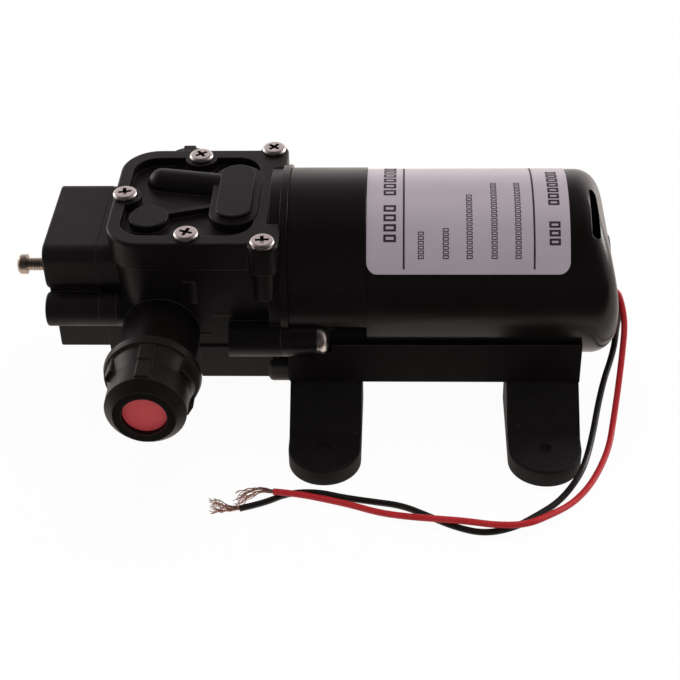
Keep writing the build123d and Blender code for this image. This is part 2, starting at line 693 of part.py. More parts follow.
roof_z = tray_z - cover_roof
with BuildPart() as top_cover:
    head_block(seam_z, rim_z)
    fillet(top_cover.faces().sort_by(Axis.Z)[-1].outer_wire().edges(), 0.8)
    with BuildSketch(Plane.XY.offset(tray_z)) as tray:
        with Locations(((head_x0 + head_x1) / 2, 0)):
            RectangleRounded(head_x1 - head_x0 - 2 * tray_rim + 1.6, 2 * (head_half - tray_rim), tray_corner)
        with Locations(*cover_screws_at):
            Circle(pad_r, mode=Mode.SUBTRACT)
    extrude(tray.sketch, amount=rim_z, mode=Mode.SUBTRACT)
    # Chamber with a stepped top
    with BuildPart(mode=Mode.PRIVATE) as chamber:
        rounded_block(chamber_x0, chamber_x1, chamber_half, roof_z, chamber_step_z, chamber_corner)
        rounded_block(chamber_x0 + chamber_step, chamber_x1 - chamber_step, chamber_half - chamber_step,
                      chamber_step_z - 1, chamber_top_z, chamber_corner - chamber_step)
        for level in chamber.faces().filter_by(Axis.Z).sort_by(Axis.Z)[-2:]:
            fillet(level.outer_wire().edges(), edge_round)
    add(chamber.part)
    # Rounded rib, round boss and thin web
    rib_path = Vector(*rib_to) - Vector(*rib_from)
    with BuildSketch(Plane(origin=(*rib_from, tray_z), z_dir=rib_path)) as rib:
        Circle(rib_r)
    extrude(rib.sketch, amount=rib_path.length)
    with Locations((*rib_from, tray_z)):
        Sphere(rib_r)
    with BuildPart(mode=Mode.PRIVATE) as round_boss:
        round_z(roof_z, round_boss_z, round_boss_r, *round_boss_at)
        fillet(round_boss.faces().sort_by(Axis.Z)[-1].edges(), edge_round)
    add(round_boss.part)
    web_path = Vector(*web_to) - Vector(*web_from)
    with BuildSketch(Plane.XY.offset(roof_z)) as web:
        with Locations((Vector(*web_from) + Vector(*web_to)) / 2):
            Rectangle(web_path.length, web_width, rotation=math.degrees(math.atan2(web_path.Y, web_path.X)))
    extrude(web.sketch, amount=web_z - roof_z)
    # Inside
    stack_block(seam_z - 1, roof_z, grow=seat_gap, mode=Mode.SUBTRACT)
    rounded_block(chamber_x0 + 3, chamber_x1 - 3, chamber_half - 3.6, seam_z, chamber_ceiling, 3.0,
                  mode=Mode.SUBTRACT)
    round_x(neck_x0 - thread_gap, ring_x0 + 4, neck_r + thread_gap, mode=Mode.SUBTRACT)
    round_x(ring_x0 - face_gap, ring_x0 + 4, ring_r + thread_gap, mode=Mode.SUBTRACT)
    for x, y in cover_screws_at:
        round_z(seam_z - 1, rim_z + 1, cover_screw_r + seat_gap, x, y, mode=Mode.SUBTRACT)
save("top_cover", top_cover)

with BuildPart() as cover_screws:
    for x, y in cover_screws_at:
        round_z(rim_z + face_gap, rim_z + pan_t, pan_r, x, y)
    crowns = cover_screws.edges().filter_by(lambda edge: abs(edge.center().Z - rim_z - pan_t) < 0.01)
    fillet(crowns, 0.9)
    for turn, (x, y) in zip(cover_screw_turns, cover_screws_at):
        round_z(rim_z - cover_screw_length, rim_z + pan_t / 2, cover_screw_r, x, y)
        cross_cut(rim_z + pan_t, x, y, turn)
save("cover_screws", cover_screws)

# Plates stacked inside the head

diaphragm_z = axis_z + rod_length
seat_z = diaphragm_z - face_gap - seat_t
valve_plate_z = diaphragm_z + diaphragm_t + face_gap

with BuildPart() as diaphragm_seat:
    stack_block(seat_z, diaphragm_z - face_gap)
    for x in crank_x:
        round_z(seat_z, diaphragm_z, chamber_r, x, 0, mode=Mode.SUBTRACT)
    for side in (-1, 1):
        round_z(seat_z, diaphragm_z, riser_bore_r, port_x, side * riser_y, mode=Mode.SUBTRACT)
save("diaphragm_seat", diaphragm_seat)

with BuildPart() as diaphragm:
    stack_block(diaphragm_z, diaphragm_z + diaphragm_t)
    for x in crank_x:
        round_z(diaphragm_z, diaphragm_z + diaphragm_t, chamber_r - 0.1, x, 0, mode=Mode.SUBTRACT)
    for x, sign in zip(crank_x, throw_sign):
        lift = sign * throw
        with BuildSketch(Plane.XZ) as roll:
            with BuildLine():
                Polyline([(x + chamber_r, diaphragm_z), (x + rod_flange_r + 0.4, diaphragm_z + lift),
                          (x + piston_screw_r + 0.2, diaphragm_z + lift),
                          (x + piston_screw_r + 0.2, diaphragm_z + lift + diaphragm_t),
                          (x + rod_flange_r + 0.4, diaphragm_z + lift + diaphragm_t),
                          (x + chamber_r, diaphragm_z + diaphragm_t)], close=True)
            make_face()
        revolve(roll.sketch, axis=Axis((x, 0, 0), (0, 0, 1)))
    for side in (-1, 1):
        round_z(diaphragm_z, diaphragm_z + diaphragm_t, riser_bore_r, port_x, side * riser_y,
                mode=Mode.SUBTRACT)
save("diaphragm", diaphragm)

with BuildPart() as valve_plate:
    stack_block(valve_plate_z, valve_plate_top)
    block(stack_x0 + 2.5, stack_x1 - 2.5, -0.6, 0.6, valve_plate_top - 1, roof_z - face_gap)
    for x in crank_x:
        round_z(valve_plate_z - 1, valve_ceiling, chamber_r, x, 0, mode=Mode.SUBTRACT)
        for side in (-1, 1):
            round_z(valve_ceiling - 1, valve_plate_top, valve_stem_r + 0.05, x, side * valve_y,
                    mode=Mode.SUBTRACT)
            with BuildSketch(Plane.XY.offset(valve_ceiling)) as valve_holes:
                with Locations((x, side * valve_y)):
                    with PolarLocations(1.75, 5):
                        Circle(0.5)
            extrude(valve_holes.sketch, amount=valve_plate_top - valve_ceiling, mode=Mode.SUBTRACT)
    for side in (-1, 1):
        round_z(valve_plate_z - 1, valve_plate_top, riser_bore_r, port_x, side * riser_y, mode=Mode.SUBTRACT)
save("valve_plate", valve_plate)

with BuildPart() as cover_seal:
    with BuildSketch(Plane.XY.offset(valve_plate_top + face_gap)) as ring:
        with Locations(((stack_x0 + stack_x1) / 2, 0)):
            RectangleRounded(stack_x1 - stack_x0 - 0.4, 2 * stack_half - 0.4, stack_corner - 0.2)
        with Locations(*cover_screws_at[1:3]):
            Circle(notch_r, mode=Mode.SUBTRACT)
        offset(amount=-seal_width, mode=Mode.SUBTRACT)
    extrude(ring.sketch, amount=roof_z - valve_plate_top - 2 * face_gap)
save("cover_seal", cover_seal)

# Umbrella valves: the inlet pair hangs in the chambers, the outlet pair stands above the plate
with BuildPart() as umbrella_valves:
    for side, disc_z, far_z, bead in (
            (-1, valve_ceiling - face_gap - valve_t, valve_plate_top, 1),
            (1, valve_plate_top + face_gap, valve_ceiling, -1)):
        for x in crank_x:
            round_z(disc_z, disc_z + valve_t, valve_r, x, side * valve_y)
            stem_z0, stem_z1 = sorted((disc_z + valve_t / 2, far_z + bead * 0.5))
            round_z(stem_z0, stem_z1, valve_stem_r, x, side * valve_y)
            bead_z0, bead_z1 = sorted((far_z + bead * face_gap, far_z + bead * 0.55))
            round_z(bead_z0, bead_z1, valve_stem_r + 0.4, x, side * valve_y)
save("umbrella_valves", umbrella_valves)

# Crank: one hub with two journals, a rod on each

collar_x0 = crank_x[0] + journal_length / 2
collar_x1 = crank_x[1] - journal_length / 2
with BuildPart() as eccentric_hub:
    round_x(collar_x0, collar_x1, collar_r)
    for x, sign in zip(crank_x, throw_sign):
        round_x(x - journal_length / 2, x + journal_length / 2, journal_r, z=axis_z + sign * throw)
    round_x(shaft_x0, crank_x[1] + journal_length, shaft_r, mode=Mode.SUBTRACT)
save("eccentric_hub", eccentric_hub)

bush_r = journal_r + running_gap + bush_wall
for name, x, sign in zip(("left", "right"), crank_x, throw_sign):
    centre_z = axis_z + sign * throw
    rod_top = centre_z + rod_length
    cap_z = rod_top + diaphragm_t + face_gap
    with BuildPart() as rod:
        round_x(x - rod_width / 2, x + rod_width / 2, bush_r + rod_ring_wall, z=centre_z)
        block(x - rod_width / 2, x + rod_width / 2, -rod_neck / 2, rod_neck / 2, centre_z, rod_top - 0.5)
        round_z(rod_top - rod_flange_t, rod_top - face_gap, rod_flange_r, x, 0)
        round_x(x - rod_width / 2, x + rod_width / 2, bush_r, z=centre_z, mode=Mode.SUBTRACT)
        round_z(cap_z + cap_t - piston_screw_length, rod_top, piston_screw_r, x, 0, mode=Mode.SUBTRACT)
    save(f"{name}_connecting_rod", rod)
    with BuildPart() as bush:
        round_x(x - rod_width / 2, x + rod_width / 2, bush_r, z=centre_z)
        round_x(x - rod_width / 2, x + rod_width / 2, journal_r + running_gap, z=centre_z, mode=Mode.SUBTRACT)
    save(f"{name}_rod_bush", bush)
    with BuildPart() as cap:
        round_z(cap_z, cap_z + cap_t, cap_r, x, 0)
        round_z(cap_z, cap_z + cap_t, piston_screw_r + 0.1, x, 0, mode=Mode.SUBTRACT)
        round_z(cap_z + 0.2, cap_z + cap_t, piston_screw_r + 1.2, x, 0, mode=Mode.SUBTRACT)
    save(f"{name}_piston_cap", cap)
    with BuildPart() as piston_screw:
        round_z(cap_z + 0.2 + face_gap, cap_z + cap_t, piston_screw_r + 1.1, x, 0)
        round_z(cap_z + cap_t - piston_screw_length + 0.2, cap_z + cap_t / 2, piston_screw_r - 0.02, x, 0)
        with BuildSketch(Plane.XY.offset(cap_z + cap_t)) as cross:
            with Locations((x, 0)):
                Rectangle(2.6, 0.6)
                Rectangle(0.6, 2.6)
        extrude(cross.sketch, amount=-0.6, mode=Mode.SUBTRACT)
    save(f"{name}_piston_screw", piston_screw)

# Lower housing

housing_half = head_half - housing_inset
housing_x0 = head_x0 + housing_inset
with BuildPart() as mounting_tab:
    with BuildSketch(Plane.YZ.offset(tab_x0)) as tab:
        with Locations((0, (tab_z0 + tab_z1) / 2)):
            RectangleRounded(2 * tab_y, tab_z1 - tab_z0, tab_corner)
    extrude(tab.sketch, amount=tab_x1 - tab_x0)
    fillet(mounting_tab.faces().sort_by(Axis.X)[0].edges(), tab_round)
    round_x(ring_x0, tab_x1, ring_r + face_gap, mode=Mode.SUBTRACT)

with BuildPart() as lower_housing:
    head_block(floor_z, seam_z - face_gap, inset=housing_inset, ears=False)
    block(stack_x1, neck_x0 + 0.5, -housing_half, housing_half, floor_z, seam_z - face_gap)
    block(belly_x0, neck_x0, -housing_half - belly_out, housing_half + belly_out, floor_z, belly_z)
    round_x(neck_x0, ring_x0, neck_r)
    add(mounting_tab.part)
    for x0, x1, z in ledges:
        block(x0, x1, -housing_half - ledge_out, housing_half + ledge_out, z - ledge_half, z + ledge_half)
    for side in (-1, 1):
        round_x(head_boss_x0, ring_x0, head_boss_r, y=side * head_bolt_y, z=head_bolt_z)
        round_x(housing_x0, cavity_x0, switch_boss_r, y=side * switch_screw_y, z=switch_screw_z)
        round_z(seam_z - 8.5, seam_z - face_gap, boss_r - 0.3, ear_x, side * cover_screws_at[3][1])
    # Crank case, open to the motor, with a ledge for the stacked plates
    rounded_block(cavity_x0, stack_x1, cavity_half, floor_z + floor_t, seam_z, stack_corner,
                  mode=Mode.SUBTRACT)
    stack_block(seat_z - face_gap, seam_z, grow=seat_gap, mode=Mode.SUBTRACT)
    round_x(stack_x1 - 2, ring_x0, throat_r, mode=Mode.SUBTRACT)
    for side in (-1, 1):
        inner, outer = sorted((side * elbow_y, side * housing_half))
        round_y(inner, outer, elbow_r, port_x, port_z)
        round_z(port_z, seat_z - face_gap, riser_r, port_x, side * riser_y)
        round_z(seam_z - 12, seat_z - face_gap, boss_r, *cover_screws_at[1 if side > 0 else 2])
        inner, outer = sorted((side * (housing_half - 1), side * stub_base_y))
        round_y(inner, outer, stub_base_r, port_x, port_z)
        inner, outer = sorted((side * (housing_half - 1), side * stub_y))
        round_y(inner, outer, stub_r, port_x, port_z)
    # Bores
    for side in (-1, 1):
        inner, outer = sorted((side * (elbow_y + 1.2), side * stub_y))
        round_y(inner, outer, port_bore_r, port_x, port_z, mode=Mode.SUBTRACT)
        round_z(port_z, seat_z, riser_bore_r, port_x, side * riser_y, mode=Mode.SUBTRACT)
        round_x(head_bolt_x0 - 1, ring_x0, head_bolt_r + seat_gap, y=side * head_bolt_y, z=head_bolt_z,
                mode=Mode.SUBTRACT)
        round_x(housing_x0 - 1, cavity_x0 - 1.5, switch_screw_r + seat_gap, y=side * switch_screw_y,
                z=switch_screw_z, mode=Mode.SUBTRACT)
    for x, y in cover_screws_at:
        round_z(rim_z - cover_screw_length - 1, seam_z, cover_screw_r + seat_gap, x, y, mode=Mode.SUBTRACT)
    round_x(housing_x0 - 1, port_x, sense_r, y=sense_y, z=sense_z, mode=Mode.SUBTRACT)
save("lower_housing", lower_housing)

with BuildPart() as head_bolts:
    for side in (-1, 1):
        round_x(head_boss_x1 + face_gap, head_boss_x1 + bolt_head_t, bolt_head_r, y=side * head_bolt_y,
                z=head_bolt_z)
    dome_x = head_boss_x1 + bolt_head_t
    fillet(head_bolts.edges().filter_by(lambda edge: abs(edge.center().X - dome_x) < 0.01), bolt_dome)
    for side in (-1, 1):
        round_x(head_bolt_x0, head_boss_x1 + 1, head_bolt_r, y=side * head_bolt_y, z=head_bolt_z)
        with BuildSketch(Plane.YZ.offset(head_boss_x1 + bolt_head_t)) as cross:
            with Locations((side * head_bolt_y, head_bolt_z)):
                Rectangle(bolt_cross_length, cross_width)
                Rectangle(cross_width, bolt_cross_length)
        extrude(cross.sketch, amount=-cross_depth, mode=Mode.SUBTRACT)
save("head_bolts", head_bolts)

# Ports: on each side a nut turns on the stub and carries a collet, and a travel plug closes the mouth

for name, side in (("front", -1), ("rear", 1)):
    with BuildPart() as nut:
        with BuildSketch(Plane.XY.offset(port_z)) as outline:
            with BuildLine():
                Polyline([(port_x + radius, side * y) for y, radius in (
                    (nut_y0, stub_r + thread_gap), (nut_y0, nut_flange_r - 0.4), (nut_y0 + 0.4, nut_flange_r),
                    (nut_flange_y - 0.4, nut_flange_r - 0.4), (nut_flange_y, nut_flange_r - 0.9),
                    (nut_flange_y, nut_body_r), (nut_rib_y, nut_collar_r), (nut_nose_y, nut_collar_r),
                    (nut_y1, nut_nose_r), (nut_y1, nut_mouth_r), (nut_wall_y, nut_mouth_r),
                    (nut_wall_y, stub_r + thread_gap))], close=True)
            make_face()
        revolve(outline.sketch, axis=Axis((port_x, 0, port_z), (0, 1, 0)))
        # Short ribs all round, the top one longer
        for count, rib_top_r, rib_end in (
                (nut_rib_count, nut_rib_r, nut_rib_y), (1, nut_top_rib_r, nut_nose_y - 0.3)):
            inner, outer = sorted((side * (nut_flange_y - 0.5), side * rib_end))
            with BuildSketch(Plane.XZ.offset(-inner)) as ribs:
                with Locations((port_x, port_z)):
                    with PolarLocations((rib_top_r + nut_rib_root_r) / 2, count, start_angle=90):
                        RectangleRounded(rib_top_r - nut_rib_root_r, nut_rib_width, 0.6)
            extrude(ribs.sketch, amount=inner - outer)
    save(f"{name}_nut", nut)
    with BuildPart() as collet:
        collet_y = stub_y + 2 * (seal_section_r + face_gap)
        inner, outer = sorted((side * collet_y, side * (nut_wall_y - face_gap)))
        round_y(inner, outer, collet_r, port_x, port_z)
        round_y(inner, outer, collet_bore_r, port_x, port_z, mode=Mode.SUBTRACT)
    save(f"{name}_collet", collet)
    with BuildPart() as plug:
        inner, outer = sorted((side * (plug_y - plug_t), side * plug_y))
        round_y(inner, outer, plug_r, port_x, port_z)
        inner, outer = sorted((side * (plug_y - plug_t - plug_stem), side * (plug_y - plug_t / 2)))
        round_y(inner, outer, port_bore_r - seat_gap, port_x, port_z)
        inner, outer = sorted((side * (plug_y - plug_t - plug_stem - 1), side * (plug_y - plug_t)))
        round_y(inner, outer, port_bore_r - 1.3, port_x, port_z, mode=Mode.SUBTRACT)
    save(f"{name}_plug", plug)

with BuildPart() as port_seals:
    for side in (-1, 1):
        with BuildSketch(Plane.XY.offset(port_z)) as section:
            with Locations((port_x + seal_r, side * (stub_y + seal_section_r + face_gap))):
                Circle(seal_section_r)
        revolve(section.sketch, axis=Axis((port_x, 0, port_z), (0, 1, 0)))
save("port_seals", port_seals)

# Pressure switch

def switch_box(x0, x1, inset=0.0):
    """The rounded upper box of the switch between two places along X."""
    with BuildSketch(Plane.YZ.offset(x0)) as upper:
        with Locations((0, (switch_face_z + switch_top) / 2)):
            Rectangle(2 * (switch_half - inset), switch_top - switch_face_z - 2 * inset)
        fillet(upper.vertices().group_by(Axis.Y)[-1], switch_round)
        fillet(upper.vertices().group_by(Axis.Y)[0], switch_low_round)
    extrude(upper.sketch, amount=x1 - x0)


with BuildPart() as switch_base:
    # Its upper part reaches round the rounded corners of the head
    switch_box(switch_x1 + face_gap, head_x0 + head_corner, switch_base_in)
    head_block(seam_z - 4 * face_gap, switch_top + 1, inset=-face_gap, ears=False, mode=Mode.SUBTRACT)
    head_block(switch_low_z, seam_z - 4 * face_gap, inset=housing_inset - face_gap, ears=False,
               mode=Mode.SUBTRACT)
    block(switch_x1 + face_gap, housing_x0 - face_gap, -switch_base_half, switch_base_half, switch_low_z,
          switch_neck_z)
    for side in (-1, 1):
        round_x(switch_x1 + face_gap, housing_x0 - face_gap, switch_boss_r, y=side * switch_screw_y,
                z=switch_screw_z)
        round_x(switch_x1, housing_x0, switch_screw_r + seat_gap, y=side * switch_screw_y, z=switch_screw_z,
                mode=Mode.SUBTRACT)
    round_x(switch_x1, switch_x1 + face_gap + membrane_t + face_gap, membrane_r + seat_gap, z=switch_z,
            mode=Mode.SUBTRACT)
    round_x(switch_x1, switch_x1 + 2.4, membrane_r - 1.5, z=switch_z, mode=Mode.SUBTRACT)
    block(switch_x1, switch_x1 + 2.4, 0, sense_y + sense_r, sense_z - sense_r, sense_z + sense_r,
          mode=Mode.SUBTRACT)
    round_x(switch_x1, housing_x0, sense_r, y=sense_y, z=sense_z, mode=Mode.SUBTRACT)
save("switch_base", switch_base)

with BuildPart() as switch_membrane:
    round_x(switch_x1 + face_gap, switch_x1 + face_gap + membrane_t, membrane_r, z=switch_z)
save("switch_membrane", switch_membrane)

with BuildPart() as switch_housing:
    switch_box(switch_x0, switch_x1)
    fillet(switch_housing.faces().sort_by(Axis.X)[0].edges(), switch_rim_round)
    with BuildPart(mode=Mode.PRIVATE) as lower_box:
        block(switch_x0, switch_x1, -switch_low_half, switch_low_half, switch_low_z, switch_face_z + 2)
        fillet(lower_box.faces().sort_by(Axis.X)[0].edges(), switch_rim_round)
    add(lower_box.part)
    block(switch_x0 + switch_rim_round, switch_x1, -switch_neck_half, switch_neck_half, switch_screw_z - 2.5,
          switch_neck_z)
    for side in (-1, 1):
        with BuildPart(mode=Mode.PRIVATE) as screw_boss:
            round_x(switch_x0, switch_x1, switch_boss_r, y=side * switch_screw_y, z=switch_screw_z)
            fillet(screw_boss.faces().sort_by(Axis.X)[0].edges(), switch_rim_round)
        add(screw_boss.part)
    block(switch_x0 + switch_wall, switch_x1, -switch_low_half + switch_wall, switch_low_half - switch_wall,
          switch_low_z + switch_wall, switch_top - switch_wall, mode=Mode.SUBTRACT)
    round_x(switch_x0 + switch_wall - 0.5, switch_x0 + switch_wall + 1.0, 3.5, z=switch_z)
    round_x(switch_x0, switch_x0 + switch_wall + 1.0, adjuster_r + seat_gap, z=switch_z, mode=Mode.SUBTRACT)
    for side in (-1, 1):
        round_x(switch_x0, switch_x1, switch_screw_r + seat_gap, y=side * switch_screw_y, z=switch_screw_z,
                mode=Mode.SUBTRACT)
        round_x(switch_x0, switch_x0 + 2.6, switch_screw_head_r + seat_gap, y=side * switch_screw_y,
                z=switch_screw_z, mode=Mode.SUBTRACT)
save("switch_housing", switch_housing)

with BuildPart() as switch_screws:
    for side in (-1, 1):
        round_x(switch_x0 + 0.6, switch_x0 + 2.6 - face_gap, switch_screw_head_r, y=side * switch_screw_y,
                z=switch_screw_z)
        round_x(switch_x0 + 1.5, cavity_x0 - 2.5, switch_screw_r, y=side * switch_screw_y, z=switch_screw_z)
        with BuildSketch(Plane.YZ.offset(switch_x0 + 0.6)) as cross:
            with Locations((side * switch_screw_y, switch_screw_z)):
                Rectangle(cross_length, cross_width)
                Rectangle(cross_width, cross_length)
        extrude(cross.sketch, amount=cross_depth, mode=Mode.SUBTRACT)
save("switch_screws", switch_screws)

plunger_x0 = switch_x1 - plunger_t
arm_x0 = plunger_x0 - plunger_arm_t
with BuildPart() as switch_plunger:
    round_x(plunger_x0, switch_x1, plunger_r, z=switch_z)
    round_x(arm_x0 - 0.9, switch_x1, switch_spring_bore_r - 0.3, z=switch_z)
    block(arm_x0, plunger_x0 + 0.5, -2.0, 2.0, plunger_arm_z - 1.5, switch_z - switch_spring_r - 0.2)
save("switch_plunger", switch_plunger)

with BuildPart() as switch_spring:
    round_x(spring_seat_x + face_gap, plunger_x0 - face_gap, switch_spring_r, z=switch_z)
    round_x(spring_seat_x + face_gap, plunger_x0 - face_gap, switch_spring_bore_r, z=switch_z,
            mode=Mode.SUBTRACT)
save("switch_spring", switch_spring)

with BuildPart() as spring_seat:
    round_x(spring_seat_x - spring_seat_t, spring_seat_x, spring_seat_r, z=switch_z)
    round_x(spring_seat_x - 0.5, spring_seat_x + 1.2, switch_spring_bore_r - 0.3, z=switch_z)
save("spring_seat", spring_seat)

adjuster_head_x1 = adjuster_head_x0 + adjuster_head_t
with BuildPart() as adjusting_screw:
    round_x(adjuster_head_x0, adjuster_head_x1, adjuster_head_r, z=switch_z)
    fillet(adjusting_screw.faces().sort_by(Axis.X)[0].edges(), 1.2)
    round_x(adjuster_head_x1 - 0.5, spring_seat_x - spring_seat_t - face_gap, adjuster_r, z=switch_z)
    with BuildSketch(Plane.YZ.offset(adjuster_head_x0)) as cross:
        with Locations((0, switch_z)):
            Rectangle(cross_length, cross_width)
            Rectangle(cross_width, cross_length)
    extrude(cross.sketch, amount=cross_depth, mode=Mode.SUBTRACT)
    # Turns of the thread that show between the head and the switch
    groove_count = round((switch_x0 - adjuster_head_x1) / adjuster_groove_pitch) - 1
    for i in range(groove_count):
        x = adjuster_head_x1 + (i + 1) * adjuster_groove_pitch
        with BuildSketch(Plane.YZ.offset(x - adjuster_groove)) as groove:
            with Locations((0, switch_z)):
                Circle(adjuster_r + 1)
                Circle(adjuster_r - adjuster_groove, mode=Mode.SUBTRACT)
        extrude(groove.sketch, amount=adjuster_groove, mode=Mode.SUBTRACT)
save("adjusting_screw", adjusting_screw)

with BuildPart() as micro_switch:
    block(micro_x0, micro_x1, -micro_half_y, micro_half_y, micro_z0, micro_z1)
    for y in (-3.5, 0, 3.5):
        block(micro_x0 + 2, micro_x0 + 2.6, y - 1.1, y + 1.1, micro_z1 - 1, micro_z1 + 3.0)
    round_x(micro_x1 - 1.5, micro_x1, button_r + running_gap, z=button_z, mode=Mode.SUBTRACT)
save("micro_switch", micro_switch)

with BuildPart() as switch_button:
    round_x(micro_x1 - 1.4 + plunger_travel, arm_x0 - face_gap, button_r, z=button_z)
save("switch_button", switch_button)

# Leads: a grommet in the motor's rear end, two leads laid to the floor and their bared strands


def bend_radii(route):
    """Radius for each corner of a route, as large as its two runs allow."""
    points = [Vector(*point) for point in route]
    radii = []
    for before, corner, after in zip(points, points[1:], points[2:]):
        half_turn = math.radians((corner - before).get_angle(after - corner)) / 2
        shorter = min((corner - before).length, (after - corner).length)
        radii.append(lead_bend_share * shorter / math.tan(half_turn))
    return radii


def cord(route, radius):
    """Round cord of straight runs joined by tangent arcs."""
    with BuildPart() as piece:
        with BuildLine() as line:
            FilletPolyline(*route, radius=bend_radii(route))
        path = line.wire()
        with BuildSketch(Plane(origin=path @ 0, z_dir=path % 0)):
            Circle(radius)
        sweep(path=path)
    return piece.part, path.length


with BuildPart() as grommet:
    grommet_z = (red_exit_z + black_exit_z) / 2
    round_x(grommet_x0, grommet_x1, grommet_r, y=lead_exit_y, z=grommet_z)
    round_x(grommet_x0, grommet_x0 + 1.1, grommet_flange_r, y=lead_exit_y, z=grommet_z)
    for z in (red_exit_z, black_exit_z):
        round_x(grommet_x0, grommet_x1, lead_r + lead_gap, y=lead_exit_y, z=z, mode=Mode.SUBTRACT)
save("grommet", grommet)

for name, route in (("red_lead", red_route), ("black_lead", black_route)):
    tube, length = cord(route, lead_r)
    print(name, "radii", [round(radius, 1) for radius in bend_radii(route)])
    print(name, "length", round(length, 1), "volume over section x length",
          round(tube.volume / (math.pi * lead_r**2 * length), 4))
    with BuildPart() as lead:
        add(tube)
    save(name, lead)

for name, route in (("red_strands", red_strand_route), ("black_strands", black_strand_route)):
    with BuildPart() as strands:
        add(cord(route, strand_r)[0])
        for i in range(strand_count):
            angle = 2 * math.pi * i / strand_count
            fan = [(x, y + (strand_pitch + strand_fan * k / 3) * math.cos(angle),
                    max(z + (strand_pitch + strand_fan * k / 6) * math.sin(angle), strand_r + 0.05))
                   for k, (x, y, z) in enumerate(route)]
            add(cord(fan, strand_r)[0])
    save(name, strands)
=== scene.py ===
import math
import random

import bmesh
import bpy
from mathutils import Matrix, Vector


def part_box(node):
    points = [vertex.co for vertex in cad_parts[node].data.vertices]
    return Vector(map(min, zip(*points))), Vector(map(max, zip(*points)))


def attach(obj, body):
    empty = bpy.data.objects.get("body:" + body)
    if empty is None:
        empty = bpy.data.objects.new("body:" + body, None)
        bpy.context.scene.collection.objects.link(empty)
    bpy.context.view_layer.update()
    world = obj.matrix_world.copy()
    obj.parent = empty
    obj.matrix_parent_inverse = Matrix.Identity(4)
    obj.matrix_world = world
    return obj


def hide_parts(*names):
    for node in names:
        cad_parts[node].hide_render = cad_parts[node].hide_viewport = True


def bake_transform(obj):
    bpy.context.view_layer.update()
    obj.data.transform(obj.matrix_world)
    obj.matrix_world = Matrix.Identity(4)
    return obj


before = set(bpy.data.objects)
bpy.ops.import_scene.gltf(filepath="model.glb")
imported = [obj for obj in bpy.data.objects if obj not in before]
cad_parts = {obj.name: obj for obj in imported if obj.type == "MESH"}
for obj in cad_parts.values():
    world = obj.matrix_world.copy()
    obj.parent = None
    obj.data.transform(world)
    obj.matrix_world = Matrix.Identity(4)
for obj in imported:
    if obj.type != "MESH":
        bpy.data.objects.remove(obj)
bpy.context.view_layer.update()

mm = 0.001


# The camera looks down on the pump from its front port, as a maker's product photograph of it is taken: a
# long lens under half a metre away, tipped 38 degrees down and leaning slightly.
camera_at = Vector((-0.00823, -0.36178, 0.29161))
pitch = math.radians(37.884)
yaw = math.radians(-3.059)
lean = math.radians(-1.784)
focal_px = 1540.66
photo_px = 680
sensor_mm = 36
forward = Vector((math.sin(yaw) * math.cos(pitch), math.cos(yaw) * math.cos(pitch), -math.sin(pitch)))
level = Vector((math.cos(yaw), -math.sin(yaw), 0))
upward = level.cross(forward)
camera = bpy.data.objects.new("camera", bpy.data.cameras.new("camera"))
camera.data.sensor_width = sensor_mm
camera.data.lens = focal_px * sensor_mm / photo_px
camera_axes = Matrix((level * math.cos(lean) + upward * math.sin(lean),
                      upward * math.cos(lean) - level * math.sin(lean),
                      -forward)).transposed()
camera.matrix_world = Matrix.Translation(camera_at) @ camera_axes.to_4x4()
bpy.context.scene.collection.objects.link(camera)
bpy.context.scene.camera = camera


# Two motor leads of limp hook-up wire: PVC extruded over fine bare copper strands, 1.8 mm thick. Both come
# out of one rubber grommet in the motor's rear end and lie along the floor to their stripped ends.
red_route = (
    (0.049, -0.01, 0.0356), (0.0512, -0.01, 0.0356), (0.0526, -0.0123, 0.0321), (0.0537, -0.0142, 0.0266),
    (0.0533, -0.0174, 0.0189), (0.0521, -0.0237, 0.0124), (0.0503, -0.032, 0.0059), (0.0485, -0.0401, 0.0036),
    (0.0454, -0.0474, 0.0019), (0.0415, -0.0544, 0.0011), (0.0365, -0.0605, 0.00095),
    (0.0305, -0.0659, 0.0023), (0.024, -0.0704, 0.0031), (0.016, -0.0707, 0.0031), (0.0079, -0.0692, 0.0031),
    (-0.0002, -0.0684, 0.0031), (-0.0076, -0.0666, 0.002), (-0.0152, -0.0641, 0.00095),
    (-0.0229, -0.0611, 0.00095), (-0.0301, -0.0592, 0.0012), (-0.0373, -0.0592, 0.0031),
    (-0.0438, -0.0584, 0.0031))
black_route = (
    (0.0494, -0.01, 0.0322), (0.0514, -0.01, 0.0322), (0.0525, -0.01, 0.0305), (0.0524, -0.0098, 0.0265),
    (0.0521, -0.01, 0.0213), (0.0518, -0.0116, 0.0172), (0.0505, -0.0155, 0.0147), (0.0483, -0.0212, 0.0126),
    (0.0462, -0.0283, 0.0096), (0.0444, -0.036, 0.0065), (0.0423, -0.0439, 0.0044), (0.0395, -0.0521, 0.004),
    (0.0339, -0.059, 0.00095), (0.027, -0.0649, 0.00095), (0.0205, -0.0696, 0.00095),
    (0.0126, -0.0717, 0.00095), (0.005, -0.0693, 0.00095), (-0.002, -0.0652, 0.00095),
    (-0.0089, -0.0613, 0.00095), (-0.0167, -0.0599, 0.00095), (-0.0247, -0.0584, 0.00095),
    (-0.0324, -0.0561, 0.00095), (-0.0403, -0.0568, 0.00095), (-0.0465, -0.0608, 0.00095),
    (-0.0528, -0.0628, 0.00095))
lead_thick = 1.8 * mm


def linear(hex_colour):
    """An sRGB hex colour as the linear values that a shader takes."""
    shares = [int(hex_colour[i:i + 2], 16) / 255 for i in (1, 3, 5)]
    return [c / 12.92 if c <= 0.04045 else ((c + 0.055) / 1.055) ** 2.4 for c in shares] + [1]


